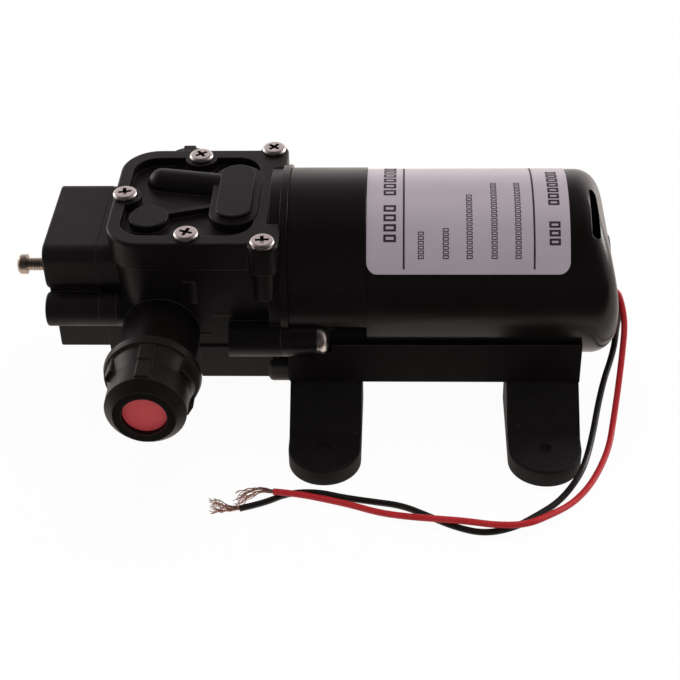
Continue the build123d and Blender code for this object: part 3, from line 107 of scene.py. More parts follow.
def add_node(tree, kind, settings, inputs):
    """Add a shader node with its settings. An input is a value, or the socket that feeds it."""
    made = tree.nodes.new(kind)
    for name, value in settings.items():
        setattr(made, name, value)
    for key, value in inputs.items():
        if isinstance(value, bpy.types.NodeSocket):
            tree.links.new(value, made.inputs[key])
        else:
            made.inputs[key].default_value = value
    return made


def new_finish(name):
    """An empty finish, and the place on the piece that its patterns are measured from, in metres."""
    finish = bpy.data.materials.new(name)
    finish.use_nodes = True
    finish.node_tree.nodes.clear()
    place = add_node(finish.node_tree, "ShaderNodeTexCoord", {}, {})
    return finish, finish.node_tree, place.outputs["Object"]


def end_finish(tree, mask, tones, inputs, layers=()):
    """Close a finish with its shader. The colour runs from one tone to the other with a mask, and so does an
    input given as two values. Each layer over it is a colour and the mask of where it lies."""
    colour = add_node(tree, "ShaderNodeMix", {"data_type": "RGBA"},
                      {0: mask, 6: linear(tones[0]), 7: linear(tones[1])}).outputs[2]
    for layer_colour, layer_mask in layers:
        colour = add_node(tree, "ShaderNodeMix", {"data_type": "RGBA"},
                          {0: layer_mask, 6: colour, 7: linear(layer_colour)}).outputs[2]
    fed = {"Base Color": colour}
    for key, value in inputs.items():
        if isinstance(value, tuple):
            value = add_node(tree, "ShaderNodeMapRange", {},
                             {0: mask, 1: 0.3, 2: 0.7, 3: value[0], 4: value[1]}).outputs[0]
        fed[key] = value
    surface = add_node(tree, "ShaderNodeBsdfPrincipled", {}, fed)
    add_node(tree, "ShaderNodeOutputMaterial", {}, {"Surface": surface.outputs["BSDF"]})


def extruded_pvc(name, tones):
    """Plasticised PVC, extruded: an even semi-gloss skin, faintly lumpy along its length where it was
    drawn over the strands, with dull smears from handling."""
    finish, tree, place = new_finish(name)
    lump = 2.5 * mm
    smear = 6 * mm
    lumps = add_node(tree, "ShaderNodeTexNoise", {}, {"Vector": place, "Scale": 1 / lump, "Detail": 2.0})
    smears = add_node(tree, "ShaderNodeTexNoise", {}, {"Vector": place, "Scale": 1 / smear, "Detail": 3.0})
    relief = add_node(tree, "ShaderNodeBump", {},
                      {"Height": lumps.outputs[0], "Strength": 0.25, "Distance": 0.05 * mm})
    end_finish(tree, smears.outputs[0], tones,
               {"Roughness": (0.3, 0.46), "IOR": 1.53, "Normal": relief.outputs[0]})
    return finish


def flex(name, route, finish):
    """A lead as one smooth curve along its route."""
    line = bpy.data.curves.new(name, "CURVE")
    line.dimensions = "3D"
    line.bevel_depth = lead_thick / 2
    line.bevel_resolution = 5
    line.resolution_u = 10
    line.use_fill_caps = True
    spline = line.splines.new("NURBS")
    spline.points.add(len(route) - 1)
    for point, place in zip(spline.points, route):
        point.co = (*place, 1)
    spline.order_u = 3
    spline.use_endpoint_u = True
    line.materials.append(finish)
    piece = bpy.data.objects.new(name, line)
    bpy.context.scene.collection.objects.link(piece)
    return piece


red_pvc = extruded_pvc("red_extruded_pvc", ("#a8141c", "#c01c26"))
black_pvc = extruded_pvc("black_extruded_pvc", ("#120f0f", "#1d1918"))
red_flex = flex("red_flex", red_route, red_pvc)
black_flex = flex("black_flex", black_route, black_pvc)


# The stripped ends of the leads: two dozen bare copper strands each, 0.2 mm thick, frayed and bent aside
# by the fingers that stripped them. They start inside the insulation.
strand_thick = 0.2 * mm
insulation_wall = 0.35 * mm
strand_count = 24
bends_each = 9                  # places along a strand where it may curl
curl_reach = 0.55 * mm
packing_turn = 2.399963         # golden angle, which spreads the strands evenly over the section
red_ends_route = ((-0.0430, -0.0585, 0.0031), (-0.0476, -0.0574, 0.0029), (-0.051, -0.0582, 0.0019),
                  (-0.0534, -0.06, 0.0011))
black_ends_route = ((-0.0520, -0.0626, 0.00095), (-0.0552, -0.0631, 0.0009), (-0.0576, -0.0627, 0.0008),
                    (-0.0602, -0.0619, 0.0008))

# Bare drawn copper: pale pinkish orange where it is fresh, browner where it was touched
bare_copper, tree, place = new_finish("drawn_bare_copper")
tarnish_spot = 1.2 * mm
tarnish = add_node(tree, "ShaderNodeTexNoise", {},
                   {"Vector": place, "Scale": 1 / tarnish_spot, "Detail": 2.0})
end_finish(tree, tarnish.outputs[0], ("#d69f8c", "#fadccf"), {"Metallic": 1.0, "Roughness": (0.5, 0.35)})


def frayed(name, route, splay, seed):
    """Strands that leave the insulation together, then curl and splay apart along a route."""
    luck = random.Random(seed)
    bundle = bpy.data.curves.new(name, "CURVE")
    bundle.dimensions = "3D"
    bundle.bevel_depth = strand_thick / 2
    bundle.bevel_resolution = 2
    bundle.resolution_u = 6
    bundle.use_fill_caps = True
    packed_r = lead_thick / 2 - insulation_wall
    legs = len(route) - 1
    for strand in range(strand_count):
        angle = packing_turn * strand
        out = math.sqrt((strand + 0.5) / strand_count)
        drift = Vector((luck.uniform(-0.5, 0.3), luck.uniform(-1, 1), luck.uniform(-0.3, 0.8))) * splay
        spline = bundle.splines.new("NURBS")
        spline.points.add(bends_each)
        for bend in range(bends_each + 1):
            share = bend / bends_each
            leg = min(int(share * legs), legs - 1)
            at = Vector(route[leg]).lerp(Vector(route[leg + 1]), share * legs - leg)
            curl = Vector((luck.uniform(-1, 1), luck.uniform(-1, 1), luck.uniform(-1, 1))) * curl_reach
            at += drift * share**1.5 + curl * min(1, 2 * share)
            at += Vector((0, math.cos(angle), math.sin(angle))) * packed_r * out * (1 + share)
            at.z = max(at.z, strand_thick / 2)
            spline.points[bend].co = (*at, 1)
        spline.order_u = 3
        spline.use_endpoint_u = True
    bundle.materials.append(bare_copper)
    piece = bpy.data.objects.new(name, bundle)
    bpy.context.scene.collection.objects.link(piece)
    return piece


red_fray = frayed("red_frayed_copper", red_ends_route, 2.4 * mm, 3)
black_fray = frayed("black_frayed_copper", black_ends_route, 2.2 * mm, 8)
for colour, lead, route, length, fray in (("red", red_flex, red_route, 0.1584, red_fray),
                                          ("black", black_flex, black_route, 0.1659, black_fray)):
    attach(lead, "pump_body")
    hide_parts(f"{colour}_lead")
    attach(fray, "pump_body")
    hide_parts(f"{colour}_strands")


# The motor's magnetic circuit: a rolled steel ring in the can, and two curved ferrite magnets glued inside
# it. The steel is mild strip, bright from the rolls, and the ferrite is pressed and fired like a ceramic.
def dress(name, finish):
    """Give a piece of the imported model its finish."""
    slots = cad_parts[name].data.materials
    slots.clear()
    slots.append(finish)


def worked_metal(name, tones, mark, rough, stretch=(1, 1, 1), painted_hollow_shade=None):
    """Bare or plated metal whose tool, drawing or rolling marks catch the light. Real marks are too fine to
    show here, so they are drawn coarser. A painted shade of a given colour can darken the hollows."""
    finish, tree, place = new_finish(name)
    drawn = add_node(tree, "ShaderNodeMapping", {}, {"Vector": place, "Scale": stretch})
    marks = add_node(tree, "ShaderNodeTexNoise", {},
                     {"Vector": drawn.outputs[0], "Scale": 1 / mark, "Detail": 3.0})
    relief = add_node(tree, "ShaderNodeBump", {},
                      {"Height": marks.outputs[0], "Strength": 0.3, "Distance": 0.02 * mm})
    layers = []
    if painted_hollow_shade:
        # Painted shade: where ambient occlusion finds the surface shut in, its colour goes towards the given
        # dark colour
        hollow = 1.4 * mm
        open_air = add_node(tree, "ShaderNodeAmbientOcclusion", {"samples": 6}, {"Distance": hollow})
        hollow_shade_mask = add_node(tree, "ShaderNodeMapRange", {},
                           {0: open_air.outputs["AO"], 1: 0.35, 2: 0.9, 3: 1.0, 4: 0.0})
        layers.append((painted_hollow_shade, hollow_shade_mask.outputs[0]))
    end_finish(tree, marks.outputs[0], tones,
               {"Metallic": 1.0, "Roughness": (rough, rough + 0.12), "Normal": relief.outputs[0]}, layers)
    return finish


# Rolled mild steel: grey, with long pale lines from the rolls
rolled_steel = worked_metal("rolled_mild_steel", ("#8f9092", "#b4b5b6"), mark=0.6 * mm, rough=0.34,
                            stretch=(0.15, 1, 1))
dress("field_ring", rolled_steel)

# Ferrite: fired dark grey ceramic, dull, with fine pits, here larger than real ones so that they show
ferrite, tree, place = new_finish("fired_ferrite")
pit = 0.5 * mm
pits = add_node(tree, "ShaderNodeTexVoronoi", {}, {"Vector": place, "Scale": 1 / pit})
sunk = add_node(tree, "ShaderNodeBump", {},
                {"Height": pits.outputs["Distance"], "Strength": 0.35, "Distance": 0.04 * mm})
end_finish(tree, pits.outputs["Distance"], ("#26262a", "#38383c"),
           {"Roughness": 0.68, "Normal": sunk.outputs[0]})
dress("magnets", ferrite)


# The armature: punched laminations pressed on a ground shaft, five slots wound with enamelled copper wire,
# and a copper commutator. It turns in a ball bearing at the pump end and a sintered bush at the rear end.

# Ground steel: bright grey, with fine lines that run round it
ground_steel = worked_metal("ground_steel", ("#9a9b9c", "#c9c9c8"), mark=0.5 * mm, rough=0.2,
                            stretch=(1, 0.1, 0.1))
for name in ("motor_shaft", "front_bearing"):
    dress(name, ground_steel)

# Laminations: half-millimetre sheets seen on edge, a thin dark line at each joint
stacked_sheet, tree, place = new_finish("stacked_laminations")
sheet_t = 0.5 * mm
band_scale = 0.314              # the wave's scale that gives one band in a metre
along = add_node(tree, "ShaderNodeTexWave", {"bands_direction": "X"},
                 {"Vector": place, "Scale": band_scale / sheet_t})
edge_lines = add_node(tree, "ShaderNodeBump", {},
                      {"Height": along.outputs[1], "Strength": 0.5, "Distance": 0.05 * mm})
end_finish(tree, along.outputs[1], ("#4c4b4a", "#8b8a88"),
           {"Metallic": 1.0, "Roughness": 0.45, "Normal": edge_lines.outputs[0]})
dress("armature_core", stacked_sheet)

# Turned copper, dulled by the brushes in fine rings
turned_copper, tree, place = new_finish("turned_copper")
ring_pitch = 0.35 * mm
rings = add_node(tree, "ShaderNodeTexWave", {"bands_direction": "X"},
                 {"Vector": place, "Scale": band_scale / ring_pitch, "Distortion": 1.0})
end_finish(tree, rings.outputs[1], ("#8a4d33", "#c98763"), {"Metallic": 1.0, "Roughness": 0.38})
dress("commutator", turned_copper)

# Sintered bronze: brassy brown, damp with oil, with fine pores that are drawn coarser so that they show
sintered_bronze, tree, place = new_finish("sintered_bronze")
pore = 0.4 * mm
pores = add_node(tree, "ShaderNodeTexNoise", {}, {"Vector": place, "Scale": 1 / pore, "Detail": 4.0})
pored = add_node(tree, "ShaderNodeBump", {},
                 {"Height": pores.outputs[0], "Strength": 0.4, "Distance": 0.03 * mm})
end_finish(tree, pores.outputs[0], ("#6d4d2c", "#a67c4b"),
           {"Metallic": 1.0, "Roughness": 0.5, "Normal": pored.outputs[0]})
dress("rear_bush", sintered_bronze)

# Enamelled copper wire: a clear amber varnish over copper, glossy, its tone darker in random patches
enamelled_copper, tree, place = new_finish("enamelled_copper_wire")
varnish_patch = 1.5 * mm
varnish = add_node(tree, "ShaderNodeTexNoise", {},
                   {"Vector": place, "Scale": 1 / varnish_patch, "Detail": 2.0})
end_finish(tree, varnish.outputs[0], ("#8a3d1c", "#b86233"),
           {"Metallic": 1.0, "Roughness": 0.3, "Coat Weight": 0.8, "Coat Roughness": 0.12})

core_low, core_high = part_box("armature_core")
motor_axis_z = (core_low.z + core_high.z) / 2
coil_count = 5
turns_each = 14
turns_a_row = 4
half_row = (turns_a_row - 1) / 2    # turns are placed from the middle of their bundle
wire_thick = 0.6 * mm
end_gap = 0.3 * mm              # between the core's end and the first wire that crosses it
end_depth_first = 0.7 * mm      # how far the first coil's end turns stand out
end_depth_more = 1.05 * mm      # and how much further each next coil's do
row_depth = 0.2 * mm            # and each next row of a coil's turns
slot_r = 15.2 * mm
end_turn_r = 9.2 * mm
coils = bpy.data.curves.new("wound_coils", "CURVE")
coils.dimensions = "3D"
coils.bevel_depth = wire_thick / 2
coils.bevel_resolution = 2
coils.resolution_u = 5
for coil in range(coil_count):
    first = 2 * math.pi * coil / coil_count
    for turn in range(turns_each):
        row, column = divmod(turn, turns_a_row)
        side_r = slot_r + (row - half_row) * wire_thick
        lap = (column - half_row) * wire_thick
        end_depth = end_depth_first + end_depth_more * coil + row_depth * row
        # A turn crosses the core's front end to the slot two along, and comes back across its rear end
        turn_points = []
        for x, outward, shares in ((core_low.x - end_gap, -1, (0.0, 0.2, 0.5, 0.8, 1.0)),
                                   (core_high.x + end_gap, 1, (1.0, 0.8, 0.5, 0.2, 0.0))):
            for share in shares:
                middle = math.sin(math.pi * share)
                angle = first + share * 4 * math.pi / coil_count
                radius = side_r + (end_turn_r - side_r + 0.7 * lap) * middle
                crossways = lap * (1 if share < 0.5 else -1) * (1 - middle)
                turn_points.append((x + outward * end_depth * min(1, 1.6 * middle),
                                    radius * math.cos(angle) - crossways * math.sin(angle),
                                    motor_axis_z + radius * math.sin(angle) + crossways * math.cos(angle)))
        spline = coils.splines.new("NURBS")
        spline.points.add(len(turn_points) - 1)
        for point, place in zip(spline.points, turn_points):
            point.co = (*place, 1)
        spline.order_u = 3
        spline.use_cyclic_u = True
coils.materials.append(enamelled_copper)
wound_coils = bpy.data.objects.new("wound_coils", coils)
bpy.context.scene.collection.objects.link(wound_coils)
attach(wound_coils, "rotor")
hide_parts("windings")


# Two carbon brushes slide in the guides of a moulded plate, each pushed in by a coil spring of thin wire.
# The brushes are pressed graphite, and the plate is natural white acetal.

# Graphite: soft dark grey with a dull metallic shine. Its flecks are drawn coarser so that they show
graphite, tree, place = new_finish("pressed_graphite")
graphite_grain = 0.3 * mm
flecks = add_node(tree, "ShaderNodeTexNoise", {},
                  {"Vector": place, "Scale": 1 / graphite_grain, "Detail": 4.0})
end_finish(tree, flecks.outputs[0], ("#1e1e1f", "#3a3a3c"), {"Roughness": 0.5, "Specular IOR Level": 0.7})
for name in ("front_brush", "rear_brush"):
    dress(name, graphite)

# Acetal: waxy off-white, faintly clouded, light sinks a little way in
acetal, tree, place = new_finish("moulded_natural_acetal")
cloud = 4 * mm
clouds = add_node(tree, "ShaderNodeTexNoise", {}, {"Vector": place, "Scale": 1 / cloud, "Detail": 2.0})
end_finish(tree, clouds.outputs[0], ("#cdc8ba", "#dedacd"),
           {"Roughness": 0.42, "IOR": 1.48, "Subsurface Weight": 0.15, "Subsurface Scale": 0.6 * mm})
dress("brush_plate", acetal)


def coil_spring(node, axis, wire, turns, finish, holders):
    """A compression spring of round wire in the place of a packed sleeve, its end turns closed. Each holder
    is a piece's name, a body's name, which is not used, and the shares of the length where it stands still
    and where it would move with the body. With two holders the spring is cut in two in the middle."""
    low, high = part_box(node)
    centre = (low + high) / 2
    across = (axis + 1) % 3
    third = (axis + 2) % 3
    length = high[axis] - low[axis] - wire
    radius = (high[across] - low[across] - wire) / 2
    line = bpy.data.curves.new(node, "CURVE")
    line.dimensions = "3D"
    line.bevel_depth = wire / 2
    line.bevel_resolution = 3
    line.resolution_u = 4
    line.use_fill_caps = True
    spline = line.splines.new("NURBS")
    points_a_turn = 12
    steps = points_a_turn * turns
    spline.points.add(steps)
    open_pitch = (length - 2 * wire) / (turns - 2)
    climb = 0.0
    for step in range(steps + 1):
        angle = 2 * math.pi * step / points_a_turn
        place = Vector(centre)
        place[axis] = low[axis] + wire / 2 + climb
        place[across] += radius * math.cos(angle)
        place[third] += radius * math.sin(angle)
        spline.points[step].co = (*place, 1)
        closed = step < points_a_turn or step >= steps - points_a_turn
        climb += (wire if closed else open_pitch) / points_a_turn
    spline.order_u = 3
    spline.use_endpoint_u = True
    drawn = bpy.data.objects.new(node, line)
    bpy.context.scene.collection.objects.link(drawn)
    wound = bpy.data.meshes.new_from_object(drawn.evaluated_get(bpy.context.evaluated_depsgraph_get()))
    bpy.data.objects.remove(drawn)
    for name, body, still, moved in holders:
        coiled = bmesh.new()
        coiled.from_mesh(wound)
        start, end = Vector(centre), Vector(centre)
        start[axis] = low[axis] + (high[axis] - low[axis]) * still
        end[axis] = low[axis] + (high[axis] - low[axis]) * moved
        if len(holders) > 1:
            cut = bmesh.ops.bisect_plane(coiled, geom=coiled.verts[:] + coiled.edges[:] + coiled.faces[:],
                                         plane_co=start, plane_no=start - end, clear_outer=True)
            rims = [edge for edge in cut["geom_cut"] if isinstance(edge, bmesh.types.BMEdge)]
            bmesh.ops.holes_fill(coiled, edges=rims)
        mesh = bpy.data.meshes.new(name)
        coiled.to_mesh(mesh)
        coiled.free()
        mesh.materials.append(finish)
        for face in mesh.polygons:
            face.use_smooth = True
        piece = bpy.data.objects.new(name, mesh)
        bpy.context.scene.collection.objects.link(piece)
        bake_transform(piece)
        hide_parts(node)


# Drawn bronze wire: bright brassy brown
spring_bronze = worked_metal("drawn_bronze_wire", ("#a07a4a", "#c7a06a"), mark=0.4 * mm, rough=0.25)
for end, outer_share, brush_share in (("front", 0, 1), ("rear", 1, 0)):
    coil_spring(f"{end}_brush_spring", axis=1, wire=0.35 * mm, turns=7, finish=spring_bronze,
                holders=((f"{end}_brush_coil", f"{end}_brush", outer_share, brush_share),))


# The motor's can: deep-drawn steel with a domed end and two punched vents, sprayed with satin black paint.
# The wider sleeve and the ring in front of it are painted with it, and the pump head is bolted to them.
dust_colour = "#3d3836"


def dusting(tree, place, speck, share):
    """A mask of stray dust specks, each about a given size, over a small share of the surface."""
    grains = add_node(tree, "ShaderNodeTexNoise", {}, {"Vector": place, "Scale": 1 / speck, "Detail": 1.0})
    return add_node(tree, "ShaderNodeMapRange", {},
                    {0: grains.outputs[0], 1: 0.9 - share, 2: 0.95 - share, 3: 0.0, 4: 1.0}).outputs[0]


# Satin black enamel: nearly neutral, smooth, with a slight orange peel and a few grey dust specks
black_paint, tree, place = new_finish("sprayed_satin_black")
peel = 1.6 * mm
smudge = 14 * mm
paint_speck = 0.5 * mm
peeled = add_node(tree, "ShaderNodeTexNoise", {}, {"Vector": place, "Scale": 1 / peel, "Detail": 1.0})
smudges = add_node(tree, "ShaderNodeTexNoise", {}, {"Vector": place, "Scale": 1 / smudge, "Detail": 2.0})
eased = add_node(tree, "ShaderNodeBevel", {"samples": 4}, {"Radius": 0.3 * mm})
relief = add_node(tree, "ShaderNodeBump", {}, {
    "Height": peeled.outputs[0], "Strength": 0.12, "Distance": 0.03 * mm, "Normal": eased.outputs[0]})
end_finish(tree, smudges.outputs[0], ("#0d0b0b", "#13100f"),
           {"Roughness": (0.2, 0.28), "Specular IOR Level": 0.3, "Normal": relief.outputs[0]},
           [(dust_colour, dusting(tree, place, paint_speck, share=0.1))])
for name in ("motor_can", "front_sleeve", "adapter_ring"):
    dress(name, black_paint)

# Moulded nitrile rubber of the grommet and the seals: dull black with a bloom of fine grey
seal_rubber, tree, place = new_finish("moulded_nitrile_rubber")
bloom = 2 * mm
blooms = add_node(tree, "ShaderNodeTexNoise", {}, {"Vector": place, "Scale": 1 / bloom, "Detail": 4.0})
dimpled = add_node(tree, "ShaderNodeBump", {},
                   {"Height": blooms.outputs[0], "Strength": 0.2, "Distance": 0.05 * mm})
end_finish(tree, blooms.outputs[0], ("#151313", "#262322"), {"Roughness": 0.62, "Normal": dimpled.outputs[0]})
dress("grommet", seal_rubber)


# The label wraps over the top of the can: pale lilac-white polypropylene film with a clear lacquer. What is
# printed on it is plain: two long rules, and rows of empty boxes where a maker would put words.
label_film, tree, place = new_finish("lacquered_label_film")
film_cloud = 9 * mm
film_clouds = add_node(tree, "ShaderNodeTexNoise", {},
                       {"Vector": place, "Scale": 1 / film_cloud, "Detail": 2.0})
end_finish(tree, film_clouds.outputs[0], ("#a49ba6", "#aca3ae"),
           {"Roughness": 0.34, "Coat Weight": 0.7, "Coat Roughness": 0.2})
dress("label", label_film)

# Screen ink: warm dark grey, a little duller than the film
ink, tree, place = new_finish("screen_printed_ink")
ink_mottle = 0.8 * mm
ink_mottles = add_node(tree, "ShaderNodeTexNoise", {},
                       {"Vector": place, "Scale": 1 / ink_mottle, "Detail": 2.0})
end_finish(tree, ink_mottles.outputs[0], ("#262026", "#342d33"), {"Roughness": 0.5})

label_low, label_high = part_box("label")
label_r = label_high.z - motor_axis_z
label_from = math.degrees(math.asin((label_low.z - motor_axis_z) / label_r))    # above the axis's level
ink_t = 0.06 * mm               # thicker than real ink, so that it stands clear of the film
ink_r = label_r + ink_t
facet_degrees = 3               # the print follows the can's round in short flats
print_mesh = bmesh.new()


def print_block(x0, x1, start, end):
    """One printed block on the label: from x0 to x1 along the motor, between two angles round it."""
    steps = max(1, round((end - start) / facet_degrees))
    rail = []
    for step in range(steps + 1):
        angle = math.radians(start + (end - start) * step / steps)
        y = -ink_r * math.cos(angle)
        z = motor_axis_z + ink_r * math.sin(angle)
        rail.append((print_mesh.verts.new((x0, y, z)), print_mesh.verts.new((x1, y, z))))
    for (a, b), (c, d) in zip(rail, rail[1:]):
        print_mesh.faces.new((a, b, d, c))


def print_words(x, tall, stroke, words):
    """A line of print: for each word a row of empty boxes, as wide and as far apart as letters would be."""
    degree = math.radians(1) * ink_r
    width_to_height = 0.62
    spacing_to_width = 1.3
    wide = width_to_height * tall / degree
    spacing = spacing_to_width * wide
    line = stroke / degree
    for start, end in words:
        count = max(1, round((end - start) / spacing))
        for i in range(count):
            box_start = start + i * (end - start) / count
            print_block(x - tall / 2, x + tall / 2, box_start, box_start + line)
            print_block(x - tall / 2, x + tall / 2, box_start + wide - line, box_start + wide)
            print_block(x - tall / 2, x - tall / 2 + stroke, box_start + line, box_start + wide - line)
            print_block(x + tall / 2 - stroke, x + tall / 2, box_start + line, box_start + wide - line)


rule_width = 0.5 * mm
rule_margin = 3                 # degrees between a rule's end and the label's edge
for x in (-8.6 * mm, 26.5 * mm):
    print_block(x - rule_width / 2, x + rule_width / 2, label_from + rule_margin,
                180 - label_from - rule_margin)
# Lines of print: the place along the motor, the height, the stroke, and where round the can each word runs
print_words(-12.4 * mm, 3.4 * mm, 0.62 * mm, ((46, 72), (78, 128)))
for x, end in ((-4.0, 53), (2.7, 55), (9.1, 79), (15.8, 90), (22.2, 90)):
    print_words(x * mm, 1.6 * mm, 0.24 * mm, ((36, end),))
print_words(32.0 * mm, 3.0 * mm, 0.6 * mm, ((44, 60), (70, 106)))
printing = bpy.data.meshes.new("label_printing")
print_mesh.to_mesh(printing)
print_mesh.free()
printing.materials.append(ink)
label_printing = bpy.data.objects.new("label_printing", printing)
bpy.context.scene.collection.objects.link(label_printing)
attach(label_printing, "pump_body")


# The saddle that carries the motor, screwed to it from below, and the four rubber feet pushed on its
# tongues. The saddle is moulded nylon, and the feet are natural rubber with a dusty, grained skin.
def moulded_nylon(name, tones, rough, shine, grain, edge, dust_share):
    """Black glass-filled nylon from a spark-eroded tool: a matt grain, drawn coarser than it is so that it
    shows, edges eased round and painted a little greyer as a highlight, changes of gloss where the melt
    flowed, and grey dust."""
    finish, tree, place = new_finish(name)
    flow = 7 * mm
    speck = 0.45 * mm
    edge_highlight_colour = "#463d3c"
    grains = add_node(tree, "ShaderNodeTexNoise", {}, {"Vector": place, "Scale": 1 / grain, "Detail": 3.0})
    flows = add_node(tree, "ShaderNodeTexNoise", {}, {"Vector": place, "Scale": 1 / flow, "Detail": 2.0})
    eased = add_node(tree, "ShaderNodeBevel", {"samples": 4}, {"Radius": edge}).outputs[0]
    relief = add_node(tree, "ShaderNodeBump", {}, {
        "Height": grains.outputs[0], "Strength": 0.3, "Distance": 0.03 * mm, "Normal": eased})
    flat = add_node(tree, "ShaderNodeNewGeometry", {}, {}).outputs["Normal"]
    # Painted highlight: where the eased normal turns away from the face, at the rounded edges, the colour
    # goes greyer
    bend = add_node(tree, "ShaderNodeVectorMath", {"operation": "DOT_PRODUCT"}, {0: eased, 1: flat})
    edge_highlight = add_node(tree, "ShaderNodeMapRange", {}, {0: bend.outputs[1], 1: 0.8, 2: 0.985, 3: 1.0, 4: 0.0})
    end_finish(tree, flows.outputs[0], tones,
               {"Roughness": (rough, rough + 0.1), "Specular IOR Level": shine, "Normal": relief.outputs[0]},
               [(edge_highlight_colour, edge_highlight.outputs[0]), (dust_colour, dusting(tree, place, speck, dust_share))])
    return finish


saddle_nylon = moulded_nylon("saddle_moulded_nylon", ("#0b0808", "#100c0c"), rough=0.5, shine=0.1,
                             grain=0.5 * mm, edge=0.3 * mm, dust_share=0.1)
dress("base_saddle", saddle_nylon)

# Nickel plate on the screws: bright, slightly warm, with faint wipe marks and a brown painted shade in the
# recesses
nickel = worked_metal("bright_nickel_plate", ("#cfc6c0", "#ece6e1"), mark=1.2 * mm, rough=0.2,
                      painted_hollow_shade="#2e211d")
dress("saddle_screws", nickel)

# Rubber: dead matt, a coarse pitted skin, with grey dust specks scattered over it
foot_rubber, tree, place = new_finish("moulded_natural_rubber")
pitting = 0.55 * mm
dust_patch = 3.5 * mm
foot_speck = 0.5 * mm
pitted = add_node(tree, "ShaderNodeTexNoise", {}, {"Vector": place, "Scale": 1 / pitting, "Detail": 4.0})
patches = add_node(tree, "ShaderNodeTexNoise", {}, {"Vector": place, "Scale": 1 / dust_patch, "Detail": 3.0})
eased = add_node(tree, "ShaderNodeBevel", {"samples": 4}, {"Radius": 0.4 * mm})
rough_skin = add_node(tree, "ShaderNodeBump", {}, {
    "Height": pitted.outputs[0], "Strength": 0.5, "Distance": 0.06 * mm, "Normal": eased.outputs[0]})
end_finish(tree, patches.outputs[0], ("#0e0b0b", "#171313"),
           {"Roughness": 0.72, "Specular IOR Level": 0.3, "Normal": rough_skin.outputs[0]},
           [(dust_colour, dusting(tree, place, foot_speck, share=0.17))])
dress("feet", foot_rubber)


# The drive: an eccentric hub on the motor's shaft works two connecting rods of acetal over bronze bushes. A
# cap and a screw clamp the rubber diaphragm to the end of each rod, and its edge lies on a moulded seat.
dress("eccentric_hub", ground_steel)
for side in ("left", "right"):
    dress(f"{side}_rod_bush", sintered_bronze)
    dress(f"{side}_connecting_rod", acetal)
    dress(f"{side}_piston_cap", acetal)
    dress(f"{side}_piston_screw", nickel)
dress("diaphragm", seal_rubber)
dress("diaphragm_seat", acetal)


# The valve deck: an acetal plate over the diaphragm with four rubber umbrella valves buttoned into it, two
# that let the water in and two that let it out, and the rubber seal that the cover is screwed down on.
dress("valve_plate", acetal)
dress("umbrella_valves", seal_rubber)
dress("cover_seal", seal_rubber)


# The pump head's lower housing: one moulding of glass-filled nylon with the crank case, the two port stubs
# and the bosses for every screw. The cover, the pressure switch and the port nuts are of the same nylon.
head_nylon = moulded_nylon("head_moulded_nylon", ("#0c0909", "#120e0e"), rough=0.34, shine=0.24,
                           grain=0.45 * mm, edge=0.35 * mm, dust_share=0.1)
for name in ("lower_housing", "top_cover"):
    dress(name, head_nylon)
for name in ("head_bolts", "cover_screws"):
    dress(name, nickel)


# The ports: on each side a nut turns on the threaded stub and holds a collet over an O-ring. Until the hoses
# are fitted a red polyethylene plug closes each mouth.
nut_nylon = moulded_nylon("nut_moulded_nylon", ("#100d0c", "#161211"), rough=0.36, shine=0.22,
                          grain=0.45 * mm, edge=0.4 * mm, dust_share=0.1)
for end in ("front", "rear"):
    dress(f"{end}_nut", nut_nylon)
    dress(f"{end}_collet", nut_nylon)
dress("port_seals", seal_rubber)

# Polyethylene: soft matt red, faintly waxy, with a little light sinking in
plug_polyethylene, tree, place = new_finish("moulded_red_polyethylene")
wax_cloud = 2.5 * mm
wax_clouds = add_node(tree, "ShaderNodeTexNoise", {},
                      {"Vector": place, "Scale": 1 / wax_cloud, "Detail": 2.0})
end_finish(tree, wax_clouds.outputs[0], ("#c23c43", "#cc474d"),
           {"Roughness": 0.55, "Subsurface Weight": 0.1, "Subsurface Scale": 0.5 * mm})
for end in ("front", "rear"):
    dress(f"{end}_plug", plug_polyethylene)


# The pressure switch: a moulded box over a rubber membrane. A plunger carries the membrane's push past a
# coil spring, which the long adjusting screw loads, to a snap-action switch of phenolic moulding.
switch_nylon = moulded_nylon("switch_moulded_nylon", ("#120e0e", "#191414"), rough=0.45, shine=0.28,
                             grain=0.4 * mm, edge=0.35 * mm, dust_share=0.12)
for name in ("switch_base", "switch_housing"):
    dress(name, switch_nylon)
dress("switch_screws", nickel)
dress("switch_membrane", seal_rubber)
dress("switch_plunger", acetal)

# Phenolic: hard dark brown, specked with its wood filler, which is drawn coarser so that it shows
phenolic, tree, place = new_finish("moulded_phenolic")
filler = 0.6 * mm
fillers = add_node(tree, "ShaderNodeTexNoise", {}, {"Vector": place, "Scale": 1 / filler, "Detail": 4.0})
end_finish(tree, fillers.outputs[0], ("#2a211b", "#3d3128"), {"Roughness": 0.4})
for name in ("micro_switch", "switch_button"):
    dress(name, phenolic)
dress("spring_seat", rolled_steel)

# Zinc plate gone dull: a pale brownish grey with soft reflections
dull_zinc = worked_metal("dull_zinc_plate", ("#a39486", "#d2c6b8"), mark=0.9 * mm, rough=0.3)
dress("adjusting_screw", dull_zinc)

# Drawn spring steel: bright grey wire
spring_steel = worked_metal("drawn_spring_steel", ("#8d8e90", "#bcbdbd"), mark=0.4 * mm, rough=0.25)
coil_spring("switch_spring", axis=0, wire=0.9 * mm, turns=5, finish=spring_steel,
            holders=(("switch_coil_seat_half", "spring_seat", 0.5, 0),
                     ("switch_coil_plunger_half", "plunger", 0.5, 1)))


